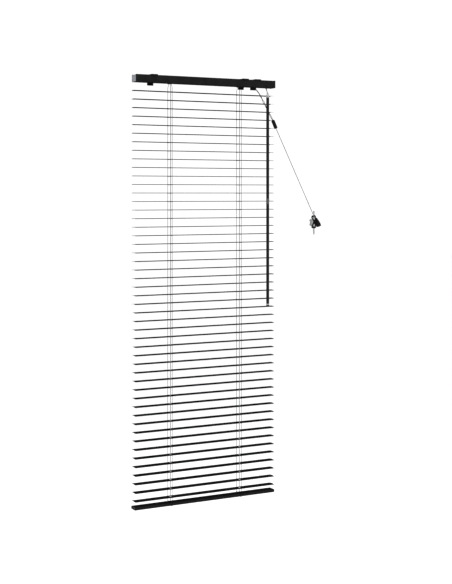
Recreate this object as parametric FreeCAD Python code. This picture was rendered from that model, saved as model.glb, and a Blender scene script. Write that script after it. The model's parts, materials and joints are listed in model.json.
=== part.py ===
import FreeCAD, Part
import math
import os
from FreeCAD import Vector as V

# Venetian blind with aluminium slats, fully lowered, slats open: headrail with its wall brackets,
# 49 slats on two string ladders, bottom rail, tilt wand, lift cords and a cord cleat on the wall.
# Millimetres. X runs along the blind, +Y points into the wall, +Z is up.
# The origin is on the wall, midway between the wall holes of the two outer brackets.

# ---------------------------------------------------------------- overall sizes
BLIND_WIDTH = 405.0          # headrail over its end caps
SLAT_COUNT = 49
SLAT_PITCH = 21.5
SLAT_WIDTH = 25.0
FIRST_SLAT_DROP = 21.7       # underside of the headrail to the first slat
LAST_SLAT_GAP = 12.7         # last slat to the top of the bottom rail
LADDER_INSET = 102.2         # end of the headrail to a ladder

# ---------------------------------------------------------------- clearances
RUN_FIT = 0.12               # shaft in its bearing, radial
SLIP_FIT = 0.05              # plug in a tube, hex rod in a hex bore
CLEAR = 0.3                  # between pieces that must not touch

# ---------------------------------------------------------------- headrail
RAIL_HEIGHT = 19.0
RAIL_DEPTH = 25.0
RAIL_WALL = 0.6
RAIL_LIP = 2.5               # in-turned edge along the open top
RAIL_LIP_DOWN = 2.0
RAIL_CORNER = 1.0
WALL_GAP = 3.0               # back of the headrail to the wall
CAP_PLATE = 1.2
CAP_INSET = 1.2              # the left cap's plate is this much smaller than the rail, all round
CAP_RIM = 0.6                # and the right cap's plate this much larger
CAP_SKIRT = 7.0
CAP_WALL = 1.2

# ---------------------------------------------------------------- brackets
BRACKET_WIDTH = 17.0
BRACKET_PLATE = 1.2
BRACKET_INSETS = (52.5, 352.5, 315.5)   # from the left end of the headrail to each bracket
BRACKET_RISE = 0.7           # gap between the rail's top and the top plate
BRACKET_LIP_DROP = 3.6
BRACKET_SHELF = 4.0
BRACKET_TAB = 6.2            # release tab below the rail
SCREW_HOLE_R = 2.1

# ---------------------------------------------------------------- slats and ladders
SLAT_THICK = 0.22
SLAT_RISE = 1.1
SLAT_SHORT = 2.0             # slats are shorter than the headrail by this
SLAT_SHIFT = -2.0            # and sit this far off its middle
SLAT_CORNER = 3.0
ROUTE_SLOT_LENGTH = 14.0     # front to back
ROUTE_SLOT_WIDTH = 5.0
STRING_R = 0.45
STRING_GAP = 0.15            # ladder string to slat edge
RUNG_R = 0.22
RUNG_DROP = 0.42             # rung axis below the slat's edge line
STRING_OFFSET = -1.2         # strings from the ladder's middle, along X
LIFT_OFFSET = 0.6            # lift cord from the ladder's middle, along X, at the headrail
LIFT_FOOT = -0.1             # and at the bottom rail
LIFT_CORD_R = 0.6
FLARE_TOP = 1.2              # below the rail, where the strings start to spread
FLARE_LENGTH = 9.5

# ---------------------------------------------------------------- tilt shaft
SHAFT_Z = 0.0
ROD_FLATS = 4.0
ROD_OVERHANG = 12.0          # past the left ladder and past the tilter
DRUM_R = 7.0
DRUM_WIDTH = 5.2
DRUM_GROOVE = 0.8
DRUM_EDGE = -0.4             # right face of a drum from the ladder's middle
CRADLE_LEFT = 8.6
CRADLE_RIGHT = 6.2
CRADLE_WALL = 1.2
CRADLE_TOP = 4.2
CRADLE_COLLAR = 1.2          # collar below the rail's underside
CORD_GATE = 1.4              # half width of the gates that let the lift cords through a cradle
COLLAR_LENGTH = 9.0
COLLAR_DEPTH = 18.0

# ---------------------------------------------------------------- tilter
TILTER_INSET = 29.0          # right end of the headrail to the wand
WHEEL_TEETH = 15
WHEEL_PITCH_R = 4.2
WHEEL_WIDTH = 4.0
WORM_PITCH_R = 2.0
TOOTH_TOP = 0.45
TOOTH_ROOT = 0.75
TOOTH_SHARE = 0.34           # tooth thickness at the pitch line, as a share of the tooth pitch
STEM_TILT = 30.0             # stem from the vertical, degrees
STEM_R = 1.3
STEM_TOP = 4.6               # journal above the mesh point
WORM_TURNS = 3
NOSE_REACH = 20.0            # housing nose beyond the mesh point
NOSE_R = 1.6
HOUSING_HALF = 8.5
EYE_R = 2.5
EYE_HOLE_R = 1.3
EYE_THICK = 1.2

# ---------------------------------------------------------------- wand
WAND_FORWARD = 10.0          # wand axis in front of the headrail
HOOK_WIRE_R = 0.5
HOOK_R = 2.7
SLEEVE_TOP = 3.6             # eye centre down to the sleeve
SLEEVE_LENGTH = 7.1
SLEEVE_R = 4.0
WAND_FLATS = 7.4
WAND_BORE_R = 2.5
UPPER_TUBE = 265.2
LOWER_TUBE = 262.3
COUPLING_LENGTH = 15.8
COUPLING_R = 4.0
SPIGOT = 8.0
END_PLUG = 6.8

# ---------------------------------------------------------------- bottom rail
FOOT_HEIGHT = 7.5
FOOT_CORNER = 2.4
FOOT_WALL = 0.5
BUTTON_R = 4.4
BUTTON_DROP = 1.5
BUTTON_STEM_R = 2.4

# ---------------------------------------------------------------- cord lock
LOCK_INSET = 58.0            # right end of the headrail to the cord exit
LOCK_LEFT = 9.0
LOCK_RIGHT = 12.0
LOCK_TOP = 6.0
LOCK_WALL = 1.0
LOCK_LIP = 1.5               # mouth below the rail's underside
LOCK_MOUTH = 3.2             # half length of the mouth
ROLLER_R = 2.2
CORD_RUN_Z = 4.5             # cords inside the rail, below the tilt rod's axis
CORD_BEND = 3.0
BACK_RUN = 8.9               # back lift cord's run inside the rail, behind the rail's middle

# ---------------------------------------------------------------- pull cord and cleat
PULL_CORD_R = 0.6
CONDENSER_R = 4.6
CLEAT_FROM_END = 131.0       # right end of the headrail to the cleat
CLEAT_DROP = 369.2           # origin down to the cleat's middle
CLEAT_LENGTH = 64.0
CLEAT_HORN = 5.0
CLEAT_STAND = 10.0           # wall to the back of the horns
CLEAT_THICK = 4.0
CLEAT_BASE_HEIGHT = 19.0
CLEAT_BASE_WIDTH = 10.0
SCREW_SPACING = 11.0
SCREW_R = 1.6
SHANK_R = 1.4                # plain shank inside the cleat
SCREW_HEAD_R = 2.4
SCREW_PAST_WALL = 12.6
WINDING_R = 2.0
WINDING_LOW = 0.62           # how far down the lower half of the winding reaches, as a share of the upper half
TASSEL_LENGTH = 24.0
TASSEL_BASE_R = 7.0
TASSEL_TOP_R = 2.6

# ---------------------------------------------------------------- places worked out from the sizes
LEFT = -BLIND_WIDTH / 2
RIGHT = BLIND_WIDTH / 2
BACK = -WALL_GAP
FRONT = BACK - RAIL_DEPTH
MIDDLE = (BACK + FRONT) / 2
TOP = RAIL_HEIGHT / 2
BOTTOM = -RAIL_HEIGHT / 2
FLOOR = BOTTOM + RAIL_WALL
LADDERS = (LEFT + LADDER_INSET, RIGHT - LADDER_INSET)
SLAT_LENGTH = BLIND_WIDTH - SLAT_SHORT
FIRST_SLAT_Z = BOTTOM - FIRST_SLAT_DROP
LAST_SLAT_Z = FIRST_SLAT_Z - (SLAT_COUNT - 1) * SLAT_PITCH
FOOT_Z = LAST_SLAT_Z - LAST_SLAT_GAP - FOOT_HEIGHT / 2
STRING_REACH = SLAT_WIDTH / 2 + STRING_GAP + STRING_R
SLATS_FRONT = MIDDLE - SLAT_WIDTH / 2
ROD_R = ROD_FLATS / math.sqrt(3)
BEARING_R = ROD_R + RUN_FIT
TILTER_X = RIGHT - TILTER_INSET
TOOTH_PITCH = 2 * math.pi * WHEEL_PITCH_R / WHEEL_TEETH
STEM_DIR = V(0, -math.sin(math.radians(STEM_TILT)), -math.cos(math.radians(STEM_TILT)))
TO_WHEEL = V(0, math.cos(math.radians(STEM_TILT)), -math.sin(math.radians(STEM_TILT)))
MESH_POINT = V(TILTER_X, MIDDLE, SHAFT_Z) - TO_WHEEL * (WHEEL_PITCH_R + WORM_PITCH_R)
WAND_Y = FRONT - WAND_FORWARD
EYE_REACH = (WAND_Y - MESH_POINT.y) / STEM_DIR.y
EYE = MESH_POINT + STEM_DIR * EYE_REACH
LOCK_X = RIGHT - LOCK_INSET
CLEAT_X = RIGHT + CLEAT_FROM_END
CLEAT_Z = -CLEAT_DROP

# Cord mouths in the lock: front cord (from the right ladder), back cord (from the left ladder).
MOUTH_Z = BOTTOM - LOCK_LIP
LOCK_FRONT = FRONT + RAIL_WALL + CLEAR
MOUTH_FRONT_Y = LOCK_FRONT + LOCK_WALL + CLEAR + LIFT_CORD_R
MOUTH_BACK_Y = MOUTH_FRONT_Y + 2 * LIFT_CORD_R + 2 * CLEAR
LOCK_BACK = MOUTH_BACK_Y + LIFT_CORD_R + CLEAR + LOCK_WALL

# Routes of the free cords, from the lock's mouth. The two lift cords twist loosely round each
# other down to the condenser; the single pull cord then runs straight to the cleat.
MOUTH = V(LOCK_X, FRONT, MOUTH_Z)
FRONT_ROUTE = [V(*p) for p in (
    (0.0, 2.8, 0.0), (0.0, 2.8, -3.0), (2.6, 0.8, -7.4), (6.6, -1.9, -13.6),
    (10.8, -3.3, -20.4), (14.6, -2.6, -25.3), (16.8, -1.9, -31.0), (18.8, -3.0, -39.1),
    (24.8, -4.0, -45.0), (28.8, -3.1, -49.4), (30.5, -2.3, -55.0), (32.8, -3.6, -61.6),
    (37.3, -4.9, -67.0), (42.6, -4.3, -72.6), (45.1, -4.5, -78.4), (47.95, -4.8, -84.1))]
BACK_ROUTE = [V(*p) for p in (
    (0.0, 4.6, 0.0), (0.0, 4.6, -3.0), (3.0, 2.6, -7.7), (7.2, 0.1, -14.0),
    (10.8, -1.5, -20.4), (13.0, -2.6, -26.1), (16.8, -3.7, -31.0), (22.8, -3.0, -36.9),
    (24.8, -2.2, -45.0), (26.6, -3.1, -50.6), (30.5, -4.1, -55.0), (35.0, -3.6, -60.4),
    (37.3, -3.1, -67.0), (39.4, -4.3, -74.4), (43.1, -4.5, -79.6), (46.65, -4.8, -84.9))]
CONDENSER_TOP = V(47.3, -4.8, -84.5)
CONDENSER_END = V(57.3, -5.2, -106.1)
PULL_END = V(190.9, 20.35, -338.2)

# Half of the figure of eight round the cleat, from its middle: up over the front, behind the upper
# horn and back over the front. The other half is this one upside down and shorter.
WINDING_HALF = [V(*p) for p in (
    (-2.2, -19.4, -4.4), (2.9, -18.6, 5.2), (6.2, -13.6, 11.2), (5.0, -7.4, 16.2),
    (0.0, -5.6, 18.6), (-5.0, -7.4, 16.2), (-6.2, -13.6, 11.2), (-2.9, -17.6, 5.2))]
TASSEL_TOP = V(9.3, -9.0, 12.4)
TASSEL_LEAN = V(0.36, 0.0, -0.93)


# ---------------------------------------------------------------- helpers
def box(x0, x1, y0, y1, z0, z1):
    return Part.makeBox(x1 - x0, y1 - y0, z1 - z0, V(x0, y0, z0))


def rod(start, end, radius):
    return Part.makeCylinder(radius, (end - start).Length, start, end - start)


def cone(start, end, start_r, end_r):
    return Part.makeCone(start_r, end_r, (end - start).Length, start, end - start)


def hexagon(start, end, flats):
    """Hexagonal bar: along X with a flat facing the front, or along Z with a corner facing it."""
    axis = (end - start).normalize()
    side = V(0, 0, 1) if abs(axis.x) > 0.5 else V(0, 1, 0)
    other = axis.cross(side)
    r = flats / math.sqrt(3)
    ring = [start + side * (r * math.cos(math.radians(60 * k)))
            + other * (r * math.sin(math.radians(60 * k))) for k in range(7)]
    return Part.Face(Part.makePolygon(ring)).extrude(end - start)


def slot_cutter(x, y, width, length, z0, z1):
    """Vertical slot with round ends, long from front to back."""
    r = width / 2
    reach = length / 2 - r
    body = box(x - r, x + r, y - reach, y + reach, z0, z1)
    ends = [rod(V(x, y + s * reach, z0), V(x, y + s * reach, z1), r) for s in (-1, 1)]
    return body.fuse(ends)


def fuse_all(shapes):
    return shapes[0].fuse(shapes[1:]).removeSplitter() if len(shapes) > 1 else shapes[0]


def edges_along_x(shape, places):
    """Straight edges along X that pass through one of the (y, z) places."""
    found = []
    for edge in shape.Edges:
        a, b = edge.Vertexes[0].Point, edge.Vertexes[-1].Point
        along = abs(a.x - b.x) > 1 and abs(a.y - b.y) < 1e-6 and abs(a.z - b.z) < 1e-6
        if along and any(abs(a.y - y) < 1e-6 and abs(a.z - z) < 1e-6 for y, z in places):
            found.append(edge)
    return found


def cord_wire(points, bend=None):
    """Straight runs joined by tangent arcs. Returns the wire and the arcs' radii."""
    edges, radii, last = [], [], points[0]
    for before, corner, after in zip(points, points[1:], points[2:]):
        into, out = corner - before, after - corner
        shorter = min(into.Length, out.Length)
        into.normalize()
        out.normalize()
        half_turn = into.getAngle(out) / 2
        radius = bend or 0.45 * shorter / math.tan(half_turn)
        reach = radius * math.tan(half_turn)
        start, end = corner - into * reach, corner + out * reach
        inward = (out - into).normalize()
        middle = corner + inward * (radius / math.cos(half_turn) - radius)
        edges += [Part.LineSegment(last, start).toShape(), Part.Arc(start, middle, end).toShape()]
        radii.append(radius)
        last = end
    edges.append(Part.LineSegment(last, points[-1]).toShape())
    return Part.Wire(edges), radii


def cord_tube(points, radius, bend=None, label=None):
    wire, radii = cord_wire(points, bend)
    ring = Part.Wire(Part.Circle(points[0], points[1] - points[0], radius).toShape())
    tube = wire.makePipeShell([ring], True, True)
    if label:
        by_length = math.pi * radius ** 2 * wire.Length
        print(label, "length", round(wire.Length, 1), "volume", round(tube.Volume, 2),
              "section x length", round(by_length, 2), "radii", [round(r, 1) for r in radii])
    return tube


def save(name, solids):
    shape = Part.makeCompound(solids) if len(solids) > 1 else solids[0]
    for solid in shape.Solids:
        if not solid.isValid():
            print("invalid solid in", name)
    print(name, len(shape.Solids), "solids", round(shape.Volume, 1), "mm3")
    shape.exportStep("parts/" + name + ".step")


# ---------------------------------------------------------------- headrail
def headrail():
    """Roll-formed channel, open at the top, with in-turned edges."""
    x0, x1 = LEFT + CAP_PLATE, RIGHT - CAP_PLATE
    channel = box(x0, x1, FRONT, BACK, BOTTOM, TOP).cut(
        box(x0 - 1, x1 + 1, FRONT + RAIL_WALL, BACK - RAIL_WALL, FLOOR, TOP + 1))
    for edge, inward in ((FRONT, 1), (BACK, -1)):
        near, far = sorted((edge, edge + inward * RAIL_LIP))
        turn = sorted((edge + inward * RAIL_LIP, edge + inward * (RAIL_LIP - RAIL_WALL)))
        channel = channel.fuse([box(x0, x1, near, far, TOP - RAIL_WALL, TOP),
                                box(x0, x1, turn[0], turn[1], TOP - RAIL_LIP_DOWN, TOP)])
    channel = channel.removeSplitter()
    corners = [(y, z) for y in (FRONT, BACK) for z in (BOTTOM, TOP)]
    channel = channel.makeFillet(RAIL_CORNER, edges_along_x(channel, corners))
    holes = [box(x - COLLAR_LENGTH / 2 - CLEAR, x + COLLAR_LENGTH / 2 + CLEAR,
                 MIDDLE - COLLAR_DEPTH / 2 - CLEAR, MIDDLE + COLLAR_DEPTH / 2 + CLEAR,
                 BOTTOM - 1, FLOOR + 1) for x in LADDERS]
    holes.append(box(LOCK_X - LOCK_MOUTH - CLEAR, LOCK_X + LOCK_MOUTH + CLEAR, LOCK_FRONT - CLEAR,
                     LOCK_BACK + CLEAR, BOTTOM - 1, FLOOR + 1))
    holes.append(rod(MESH_POINT, MESH_POINT + STEM_DIR * (NOSE_REACH + 5), nose_root_r() + CLEAR))
    return channel.cut(holes)


def end_cap(side):
    """Moulded cap: a plate on the rail's end and a skirt that plugs into the channel."""
    outer = LEFT if side < 0 else RIGHT
    inner = outer - side * CAP_PLATE
    deep = inner - side * CAP_SKIRT
    step = CAP_INSET if side < 0 else -CAP_RIM
    plate = box(min(outer, inner), max(outer, inner), FRONT + step, BACK - step, BOTTOM + step / 2, TOP - step)
    y0, y1 = FRONT + RAIL_WALL + SLIP_FIT, BACK - RAIL_WALL - SLIP_FIT
    z0, z1 = FLOOR + SLIP_FIT, TOP - RAIL_LIP_DOWN - SLIP_FIT
    skirt = box(min(inner, deep), max(inner, deep), y0, y1, z0, z1).cut(
        box(min(inner, deep) - 1, max(inner, deep) + 1, y0 + CAP_WALL, y1 - CAP_WALL,
            z0 + CAP_WALL, z1 + 1))
    return plate.fuse(skirt).removeSplitter()


def drum_cradle(x):
    """Open box on the rail's floor that carries the tilt rod, with a collar through the floor."""
    x0, x1 = x - CRADLE_LEFT, x + CRADLE_RIGHT
    y0, y1 = FRONT + RAIL_WALL + CLEAR, BACK - RAIL_WALL - CLEAR
    z0 = FLOOR + SLIP_FIT
    shell = box(x0, x1, y0, y1, z0, CRADLE_TOP).cut(
        box(x0 + CRADLE_WALL, x1 - CRADLE_WALL, y0 + CRADLE_WALL, y1 - CRADLE_WALL,
            z0 + CRADLE_WALL, CRADLE_TOP + 1))
    half, reach = COLLAR_LENGTH / 2, COLLAR_DEPTH / 2
    shell = shell.fuse(box(x - half, x + half, MIDDLE - reach, MIDDLE + reach,
                           BOTTOM - CRADLE_COLLAR, z0 + CRADLE_WALL))
    well = box(x - half + CRADLE_WALL, x + half - CRADLE_WALL, MIDDLE - reach + CRADLE_WALL / 2,
               MIDDLE + reach - CRADLE_WALL / 2, BOTTOM - CRADLE_COLLAR - 1, z0 + CRADLE_WALL + 1)
    bearing = rod(V(x0 - 1, MIDDLE, SHAFT_Z), V(x1 + 1, MIDDLE, SHAFT_Z), BEARING_R)
    cord_gates = [box(x0 - 1, x1 + 1, MIDDLE + side * BACK_RUN - CORD_GATE, MIDDLE + side * BACK_RUN + CORD_GATE,
                      -CORD_RUN_Z - CORD_GATE, CRADLE_TOP + 1) for side in (-1, 1)]
    low_gate = box(x1 - CRADLE_WALL - 1, x1 + 1, MIDDLE - 4.6, MIDDLE + 4.6,
                   -CORD_RUN_Z - CORD_GATE, -CORD_RUN_Z + CORD_GATE)
    return shell.cut([well, bearing, low_gate] + cord_gates).removeSplitter()


# ---------------------------------------------------------------- brackets
def bracket(inset):
    """One-piece clip bracket: back plate on the wall, top plate with a hook over the front edge,
    shelf under the back edge and a release tab."""
    x0 = LEFT + inset - BRACKET_WIDTH / 2
    x1 = x0 + BRACKET_WIDTH
    top = TOP + BRACKET_RISE
    hook = FRONT - CLEAR
    pieces = [
        box(x0, x1, -BRACKET_PLATE, 0, BOTTOM - BRACKET_TAB, top + BRACKET_PLATE),
        box(x0, x1, hook - BRACKET_PLATE, 0, top, top + BRACKET_PLATE),
        box(x0, x1, hook - BRACKET_PLATE, hook, TOP - BRACKET_LIP_DROP + BRACKET_RISE,
            top + BRACKET_PLATE),
        box(x0 + 2, x1 - 2, BACK - BRACKET_SHELF, 0, BOTTOM - CLEAR - BRACKET_PLATE, BOTTOM - CLEAR)]
    plate = fuse_all(pieces)
    x = LEFT + inset
    wall_hole = rod(V(x, -BRACKET_PLATE - 1, 0), V(x, 1, 0), SCREW_HOLE_R)
    ceiling_hole = rod(V(x, MIDDLE, top - 1), V(x, MIDDLE, top + BRACKET_PLATE + 1), SCREW_HOLE_R)
    plate = plate.cut([wall_hole, ceiling_hole])
    outer = [(hook - BRACKET_PLATE, top + BRACKET_PLATE), (0, top + BRACKET_PLATE)]
    return plate.makeFillet(BRACKET_PLATE * 0.8, edges_along_x(plate, outer))


# ---------------------------------------------------------------- tilt shaft
def tilt_rod():
    return hexagon(V(LADDERS[0] - ROD_OVERHANG, MIDDLE, SHAFT_Z),
                   V(TILTER_X + ROD_OVERHANG, MIDDLE, SHAFT_Z), ROD_FLATS)


def hex_bore(x0, x1):
    return hexagon(V(x0 - 1, MIDDLE, SHAFT_Z), V(x1 + 1, MIDDLE, SHAFT_Z), ROD_FLATS + 2 * SLIP_FIT)


def drum(x):
    """Drum on the rod; the ladder's strings lie in its groove."""
    x1 = x + DRUM_EDGE
    x0 = x1 - DRUM_WIDTH
    groove = x + STRING_OFFSET
    body = rod(V(x0, MIDDLE, SHAFT_Z), V(x1, MIDDLE, SHAFT_Z), DRUM_R)
    ring = rod(V(groove - STRING_R, MIDDLE, SHAFT_Z), V(groove + STRING_R, MIDDLE, SHAFT_Z), DRUM_R + 1)
    ring = ring.cut(rod(V(x0, MIDDLE, SHAFT_Z), V(x1, MIDDLE, SHAFT_Z), DRUM_R - DRUM_GROOVE))
    return body.cut([ring, hex_bore(x0, x1)])


def worm_wheel():
    x0, x1 = TILTER_X - WHEEL_WIDTH / 2, TILTER_X + WHEEL_WIDTH / 2
    shapes = [rod(V(x0, MIDDLE, SHAFT_Z), V(x1, MIDDLE, SHAFT_Z), WHEEL_PITCH_R - TOOTH_ROOT)]
    half = TOOTH_PITCH * TOOTH_SHARE / 2
    slope = math.tan(math.radians(20))
    inner, outer = WHEEL_PITCH_R - TOOTH_ROOT - 0.3, WHEEL_PITCH_R + TOOTH_TOP
    profile = [(inner, half + (WHEEL_PITCH_R - inner) * slope), (outer, half - TOOTH_TOP * slope)]
    outline = profile + [(r, -w) for r, w in reversed(profile)]
    for k in range(WHEEL_TEETH):
        turn = math.radians(360.0 * k / WHEEL_TEETH)
        out = V(0, -TO_WHEEL.y * math.cos(turn) + TO_WHEEL.z * math.sin(turn),
                -TO_WHEEL.z * math.cos(turn) - TO_WHEEL.y * math.sin(turn))
        across = V(1, 0, 0).cross(out)
        ring = [V(x0, MIDDLE, SHAFT_Z) + out * r + across * w for r, w in outline]
        shapes.append(Part.Face(Part.makePolygon(ring + ring[:1])).extrude(V(x1 - x0, 0, 0)))
    return fuse_all(shapes).cut(hex_bore(x0, x1))


# ---------------------------------------------------------------- tilter
def nose_root_r():
    return NOSE_R + 0.8


def along_stem(reach):
    return MESH_POINT + STEM_DIR * reach


def tilter_housing():
    """Housing in the rail that holds the worm and wheel; its nose leaves the front bottom edge."""
    half = HOUSING_HALF
    y0, y1 = FRONT + RAIL_WALL + CLEAR, MIDDLE + WHEEL_PITCH_R + TOOTH_TOP + 2.2
    block = box(TILTER_X - half, TILTER_X + half, y0, y1, FLOOR + SLIP_FIT,
                TOP - RAIL_LIP_DOWN - CLEAR)
    exit_reach = (BOTTOM - MESH_POINT.z) / STEM_DIR.z
    nose = cone(along_stem(exit_reach - 7), along_stem(NOSE_REACH), nose_root_r(), NOSE_R)
    wheel_r = WHEEL_PITCH_R + TOOTH_TOP + CLEAR
    wheel_half = WHEEL_WIDTH / 2 + CLEAR
    worm_r = WORM_PITCH_R + TOOTH_TOP + CLEAR
    thread = (WORM_TURNS / 2 + 0.4) * TOOTH_PITCH
    cuts = [
        rod(V(TILTER_X - wheel_half, MIDDLE, SHAFT_Z), V(TILTER_X + wheel_half, MIDDLE, SHAFT_Z), wheel_r),
        rod(V(TILTER_X - half - 1, MIDDLE, SHAFT_Z), V(TILTER_X + half + 1, MIDDLE, SHAFT_Z), BEARING_R),
        rod(along_stem(-thread), along_stem(thread), worm_r),
        rod(along_stem(-STEM_TOP - 4), along_stem(NOSE_REACH + 1), STEM_R + RUN_FIT)]
    return block.fuse(nose).cut(cuts).removeSplitter()


def worm():
    """Single-start worm with its stem and the eye that the wand hangs from."""
    z0 = -WORM_TURNS / 2 * TOOTH_PITCH
    helix = Part.makeHelix(TOOTH_PITCH, WORM_TURNS * TOOTH_PITCH, WORM_PITCH_R)
    helix.translate(V(0, 0, z0))
    half = TOOTH_PITCH * TOOTH_SHARE / 2
    slope = math.tan(math.radians(20))
    low, high = STEM_R - 0.25, WORM_PITCH_R + TOOTH_TOP
    wide, narrow = half + (WORM_PITCH_R - low) * slope, half - TOOTH_TOP * slope
    profile = [V(low, 0, z0 - wide), V(high, 0, z0 - narrow), V(high, 0, z0 + narrow), V(low, 0, z0 + wide)]
    thread = Part.Wire(helix).makePipeShell([Part.makePolygon(profile + profile[:1])], True, True)
    stem = Part.makeCylinder(STEM_R, EYE_REACH - EYE_HOLE_R - 0.4 + STEM_TOP, V(0, 0, -STEM_TOP))
    eye = Part.makeCylinder(EYE_R, EYE_THICK, V(0, -EYE_THICK / 2, EYE_REACH), V(0, 1, 0))
    hole = Part.makeCylinder(EYE_HOLE_R, EYE_THICK + 2, V(0, -EYE_THICK / 2 - 1, EYE_REACH), V(0, 1, 0))
    body = stem.fuse(thread).fuse(eye).cut(hole)
    side = STEM_DIR.cross(TO_WHEEL)
    place = FreeCAD.Matrix(TO_WHEEL.x, side.x, STEM_DIR.x, MESH_POINT.x,
                           TO_WHEEL.y, side.y, STEM_DIR.y, MESH_POINT.y,
                           TO_WHEEL.z, side.z, STEM_DIR.z, MESH_POINT.z, 0, 0, 0, 1)
    body.transformShape(place)
    return body


# ---------------------------------------------------------------- wand
def wand_point(drop):
    return V(TILTER_X, WAND_Y, EYE.z - drop)


def wand_tube(top, length):
    bar = hexagon(wand_point(top), wand_point(top + length), WAND_FLATS)
    return bar.cut(rod(wand_point(top - 1), wand_point(top + length + 1), WAND_BORE_R))


def wand_pieces():
    """Wire hook, clear sleeve, two hexagonal tubes, the coupling between them and an end plug."""
    sleeve_end = SLEEVE_TOP + SLEEVE_LENGTH
    upper_end = sleeve_end + UPPER_TUBE
    lower_top = upper_end + COUPLING_LENGTH
    lower_end = lower_top + LOWER_TUBE
    plug_r = WAND_BORE_R - SLIP_FIT
    leg = SLEEVE_TOP + SLEEVE_LENGTH * 0.55
    left, right = wand_point(leg) - V(HOOK_R, 0, 0), wand_point(leg) + V(HOOK_R, 0, 0)
    bend_l, bend_r = wand_point(HOOK_R) - V(HOOK_R, 0, 0), wand_point(HOOK_R) + V(HOOK_R, 0, 0)
    route = Part.Wire([Part.LineSegment(left, bend_l).toShape(),
                       Part.Arc(bend_l, wand_point(0), bend_r).toShape(),
                       Part.LineSegment(bend_r, right).toShape()])
    ring = Part.Wire(Part.Circle(left, V(0, 0, 1), HOOK_WIRE_R).toShape())
    hook = route.makePipeShell([ring], True, True)
    seats = [rod(p - V(0, 0, SLIP_FIT), p + V(0, 0, leg), HOOK_WIRE_R + SLIP_FIT) for p in (left, right)]
    sleeve = rod(wand_point(SLEEVE_TOP + 1), wand_point(sleeve_end), SLEEVE_R).fuse(
        [cone(wand_point(SLEEVE_TOP + 1), wand_point(SLEEVE_TOP), SLEEVE_R, SLEEVE_R - 0.6),
         rod(wand_point(sleeve_end - 1), wand_point(sleeve_end + SPIGOT), plug_r)]).cut(seats)
    coupling = rod(wand_point(upper_end), wand_point(lower_top), COUPLING_R).fuse(
        rod(wand_point(upper_end - SPIGOT), wand_point(lower_top + SPIGOT), plug_r))
    plug = rod(wand_point(lower_end), wand_point(lower_end + END_PLUG), WAND_FLATS / 2).fuse(
        rod(wand_point(lower_end - SPIGOT), wand_point(lower_end + END_PLUG / 2), plug_r))
    return [hook, sleeve.removeSplitter(), wand_tube(sleeve_end, UPPER_TUBE), coupling.removeSplitter(),
            wand_tube(lower_top, LOWER_TUBE), plug.removeSplitter()]


# ---------------------------------------------------------------- slats
def slat():
    """Crowned strip with rounded corners and a route slot at each ladder, at the first slat's height."""
    half, t, z = SLAT_WIDTH / 2, SLAT_THICK / 2, FIRST_SLAT_Z
    x0 = SLAT_SHIFT - SLAT_LENGTH / 2
    upper = [V(x0, MIDDLE - half, z + t), V(x0, MIDDLE, z + SLAT_RISE + t), V(x0, MIDDLE + half, z + t)]
    lower = [V(x0, MIDDLE - half, z - t), V(x0, MIDDLE, z + SLAT_RISE - t), V(x0, MIDDLE + half, z - t)]
    outline = Part.Wire([Part.Arc(*upper).toShape(), Part.LineSegment(upper[2], lower[2]).toShape(),
                         Part.Arc(*reversed(lower)).toShape(), Part.LineSegment(lower[0], upper[0]).toShape()])
    strip = Part.Face(outline).extrude(V(SLAT_LENGTH, 0, 0))
    blank = box(x0, x0 + SLAT_LENGTH, MIDDLE - half - 1e-3, MIDDLE + half + 1e-3, z - 2, z + SLAT_RISE + 2)
    uprights = [e for e in blank.Edges if abs(e.Vertexes[0].Point.z - e.Vertexes[-1].Point.z) > 1]
    blank = blank.makeFillet(SLAT_CORNER, uprights)
    slots = [slot_cutter(x, MIDDLE, ROUTE_SLOT_WIDTH, ROUTE_SLOT_LENGTH, z - 2, z + SLAT_RISE + 2)
             for x in LADDERS]
    return strip.common(blank).cut(slots)


# ---------------------------------------------------------------- ladders and lift cords
def ladder(x):
    """Front and back strings from the drum down round the bottom rail, with a rung under each slat."""
    line = x + STRING_OFFSET
    flare = BOTTOM - FLARE_TOP
    under = FOOT_Z - FOOT_HEIGHT / 2 - STRING_R - 0.1
    shapes = []
    for side in (-1, 1):
        route = [V(line, MIDDLE + side * DRUM_R, SHAFT_Z), V(line, MIDDLE + side * DRUM_R, flare),
                 V(line, MIDDLE + side * STRING_REACH, flare - FLARE_LENGTH),
                 V(line, MIDDLE + side * STRING_REACH, under),
                 V(line, MIDDLE + side * (BUTTON_R + CLEAR), under)]
        shapes.append(cord_tube(route, STRING_R, 1.2))
    for k in range(SLAT_COUNT):
        z = FIRST_SLAT_Z - k * SLAT_PITCH - RUNG_DROP
        shapes.append(rod(V(line, MIDDLE - STRING_REACH, z), V(line, MIDDLE + STRING_REACH, z), RUNG_R))
    return shapes[0].fuse(shapes[1:])


def lift_cord(x, route):
    start = V(x + LIFT_FOOT, MIDDLE, FOOT_Z - FOOT_HEIGHT / 2 + FOOT_WALL + CLEAR)
    corner = V(x + LIFT_OFFSET, MIDDLE, -CORD_RUN_Z)
    return cord_tube([start, corner] + route, LIFT_CORD_R, CORD_BEND)


def lift_cords():
    """From the bottom rail up through the route slots, along the rail and down out of the lock."""
    run_z = -CORD_RUN_Z
    front = [V(LADDERS[1] + 18, MOUTH_FRONT_Y, run_z), V(LOCK_X, MOUTH_FRONT_Y, run_z),
             V(LOCK_X, MOUTH_FRONT_Y, MOUTH_Z)]
    back = [V(LADDERS[0] + 16, MIDDLE + BACK_RUN, run_z), V(LADDERS[1] + 9, MIDDLE + BACK_RUN, run_z),
            V(LOCK_X - LOCK_LEFT - 5, MOUTH_BACK_Y, run_z), V(LOCK_X, MOUTH_BACK_Y, run_z),
            V(LOCK_X, MOUTH_BACK_Y, MOUTH_Z)]
    return [lift_cord(LADDERS[1], front), lift_cord(LADDERS[0], back)]


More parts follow.
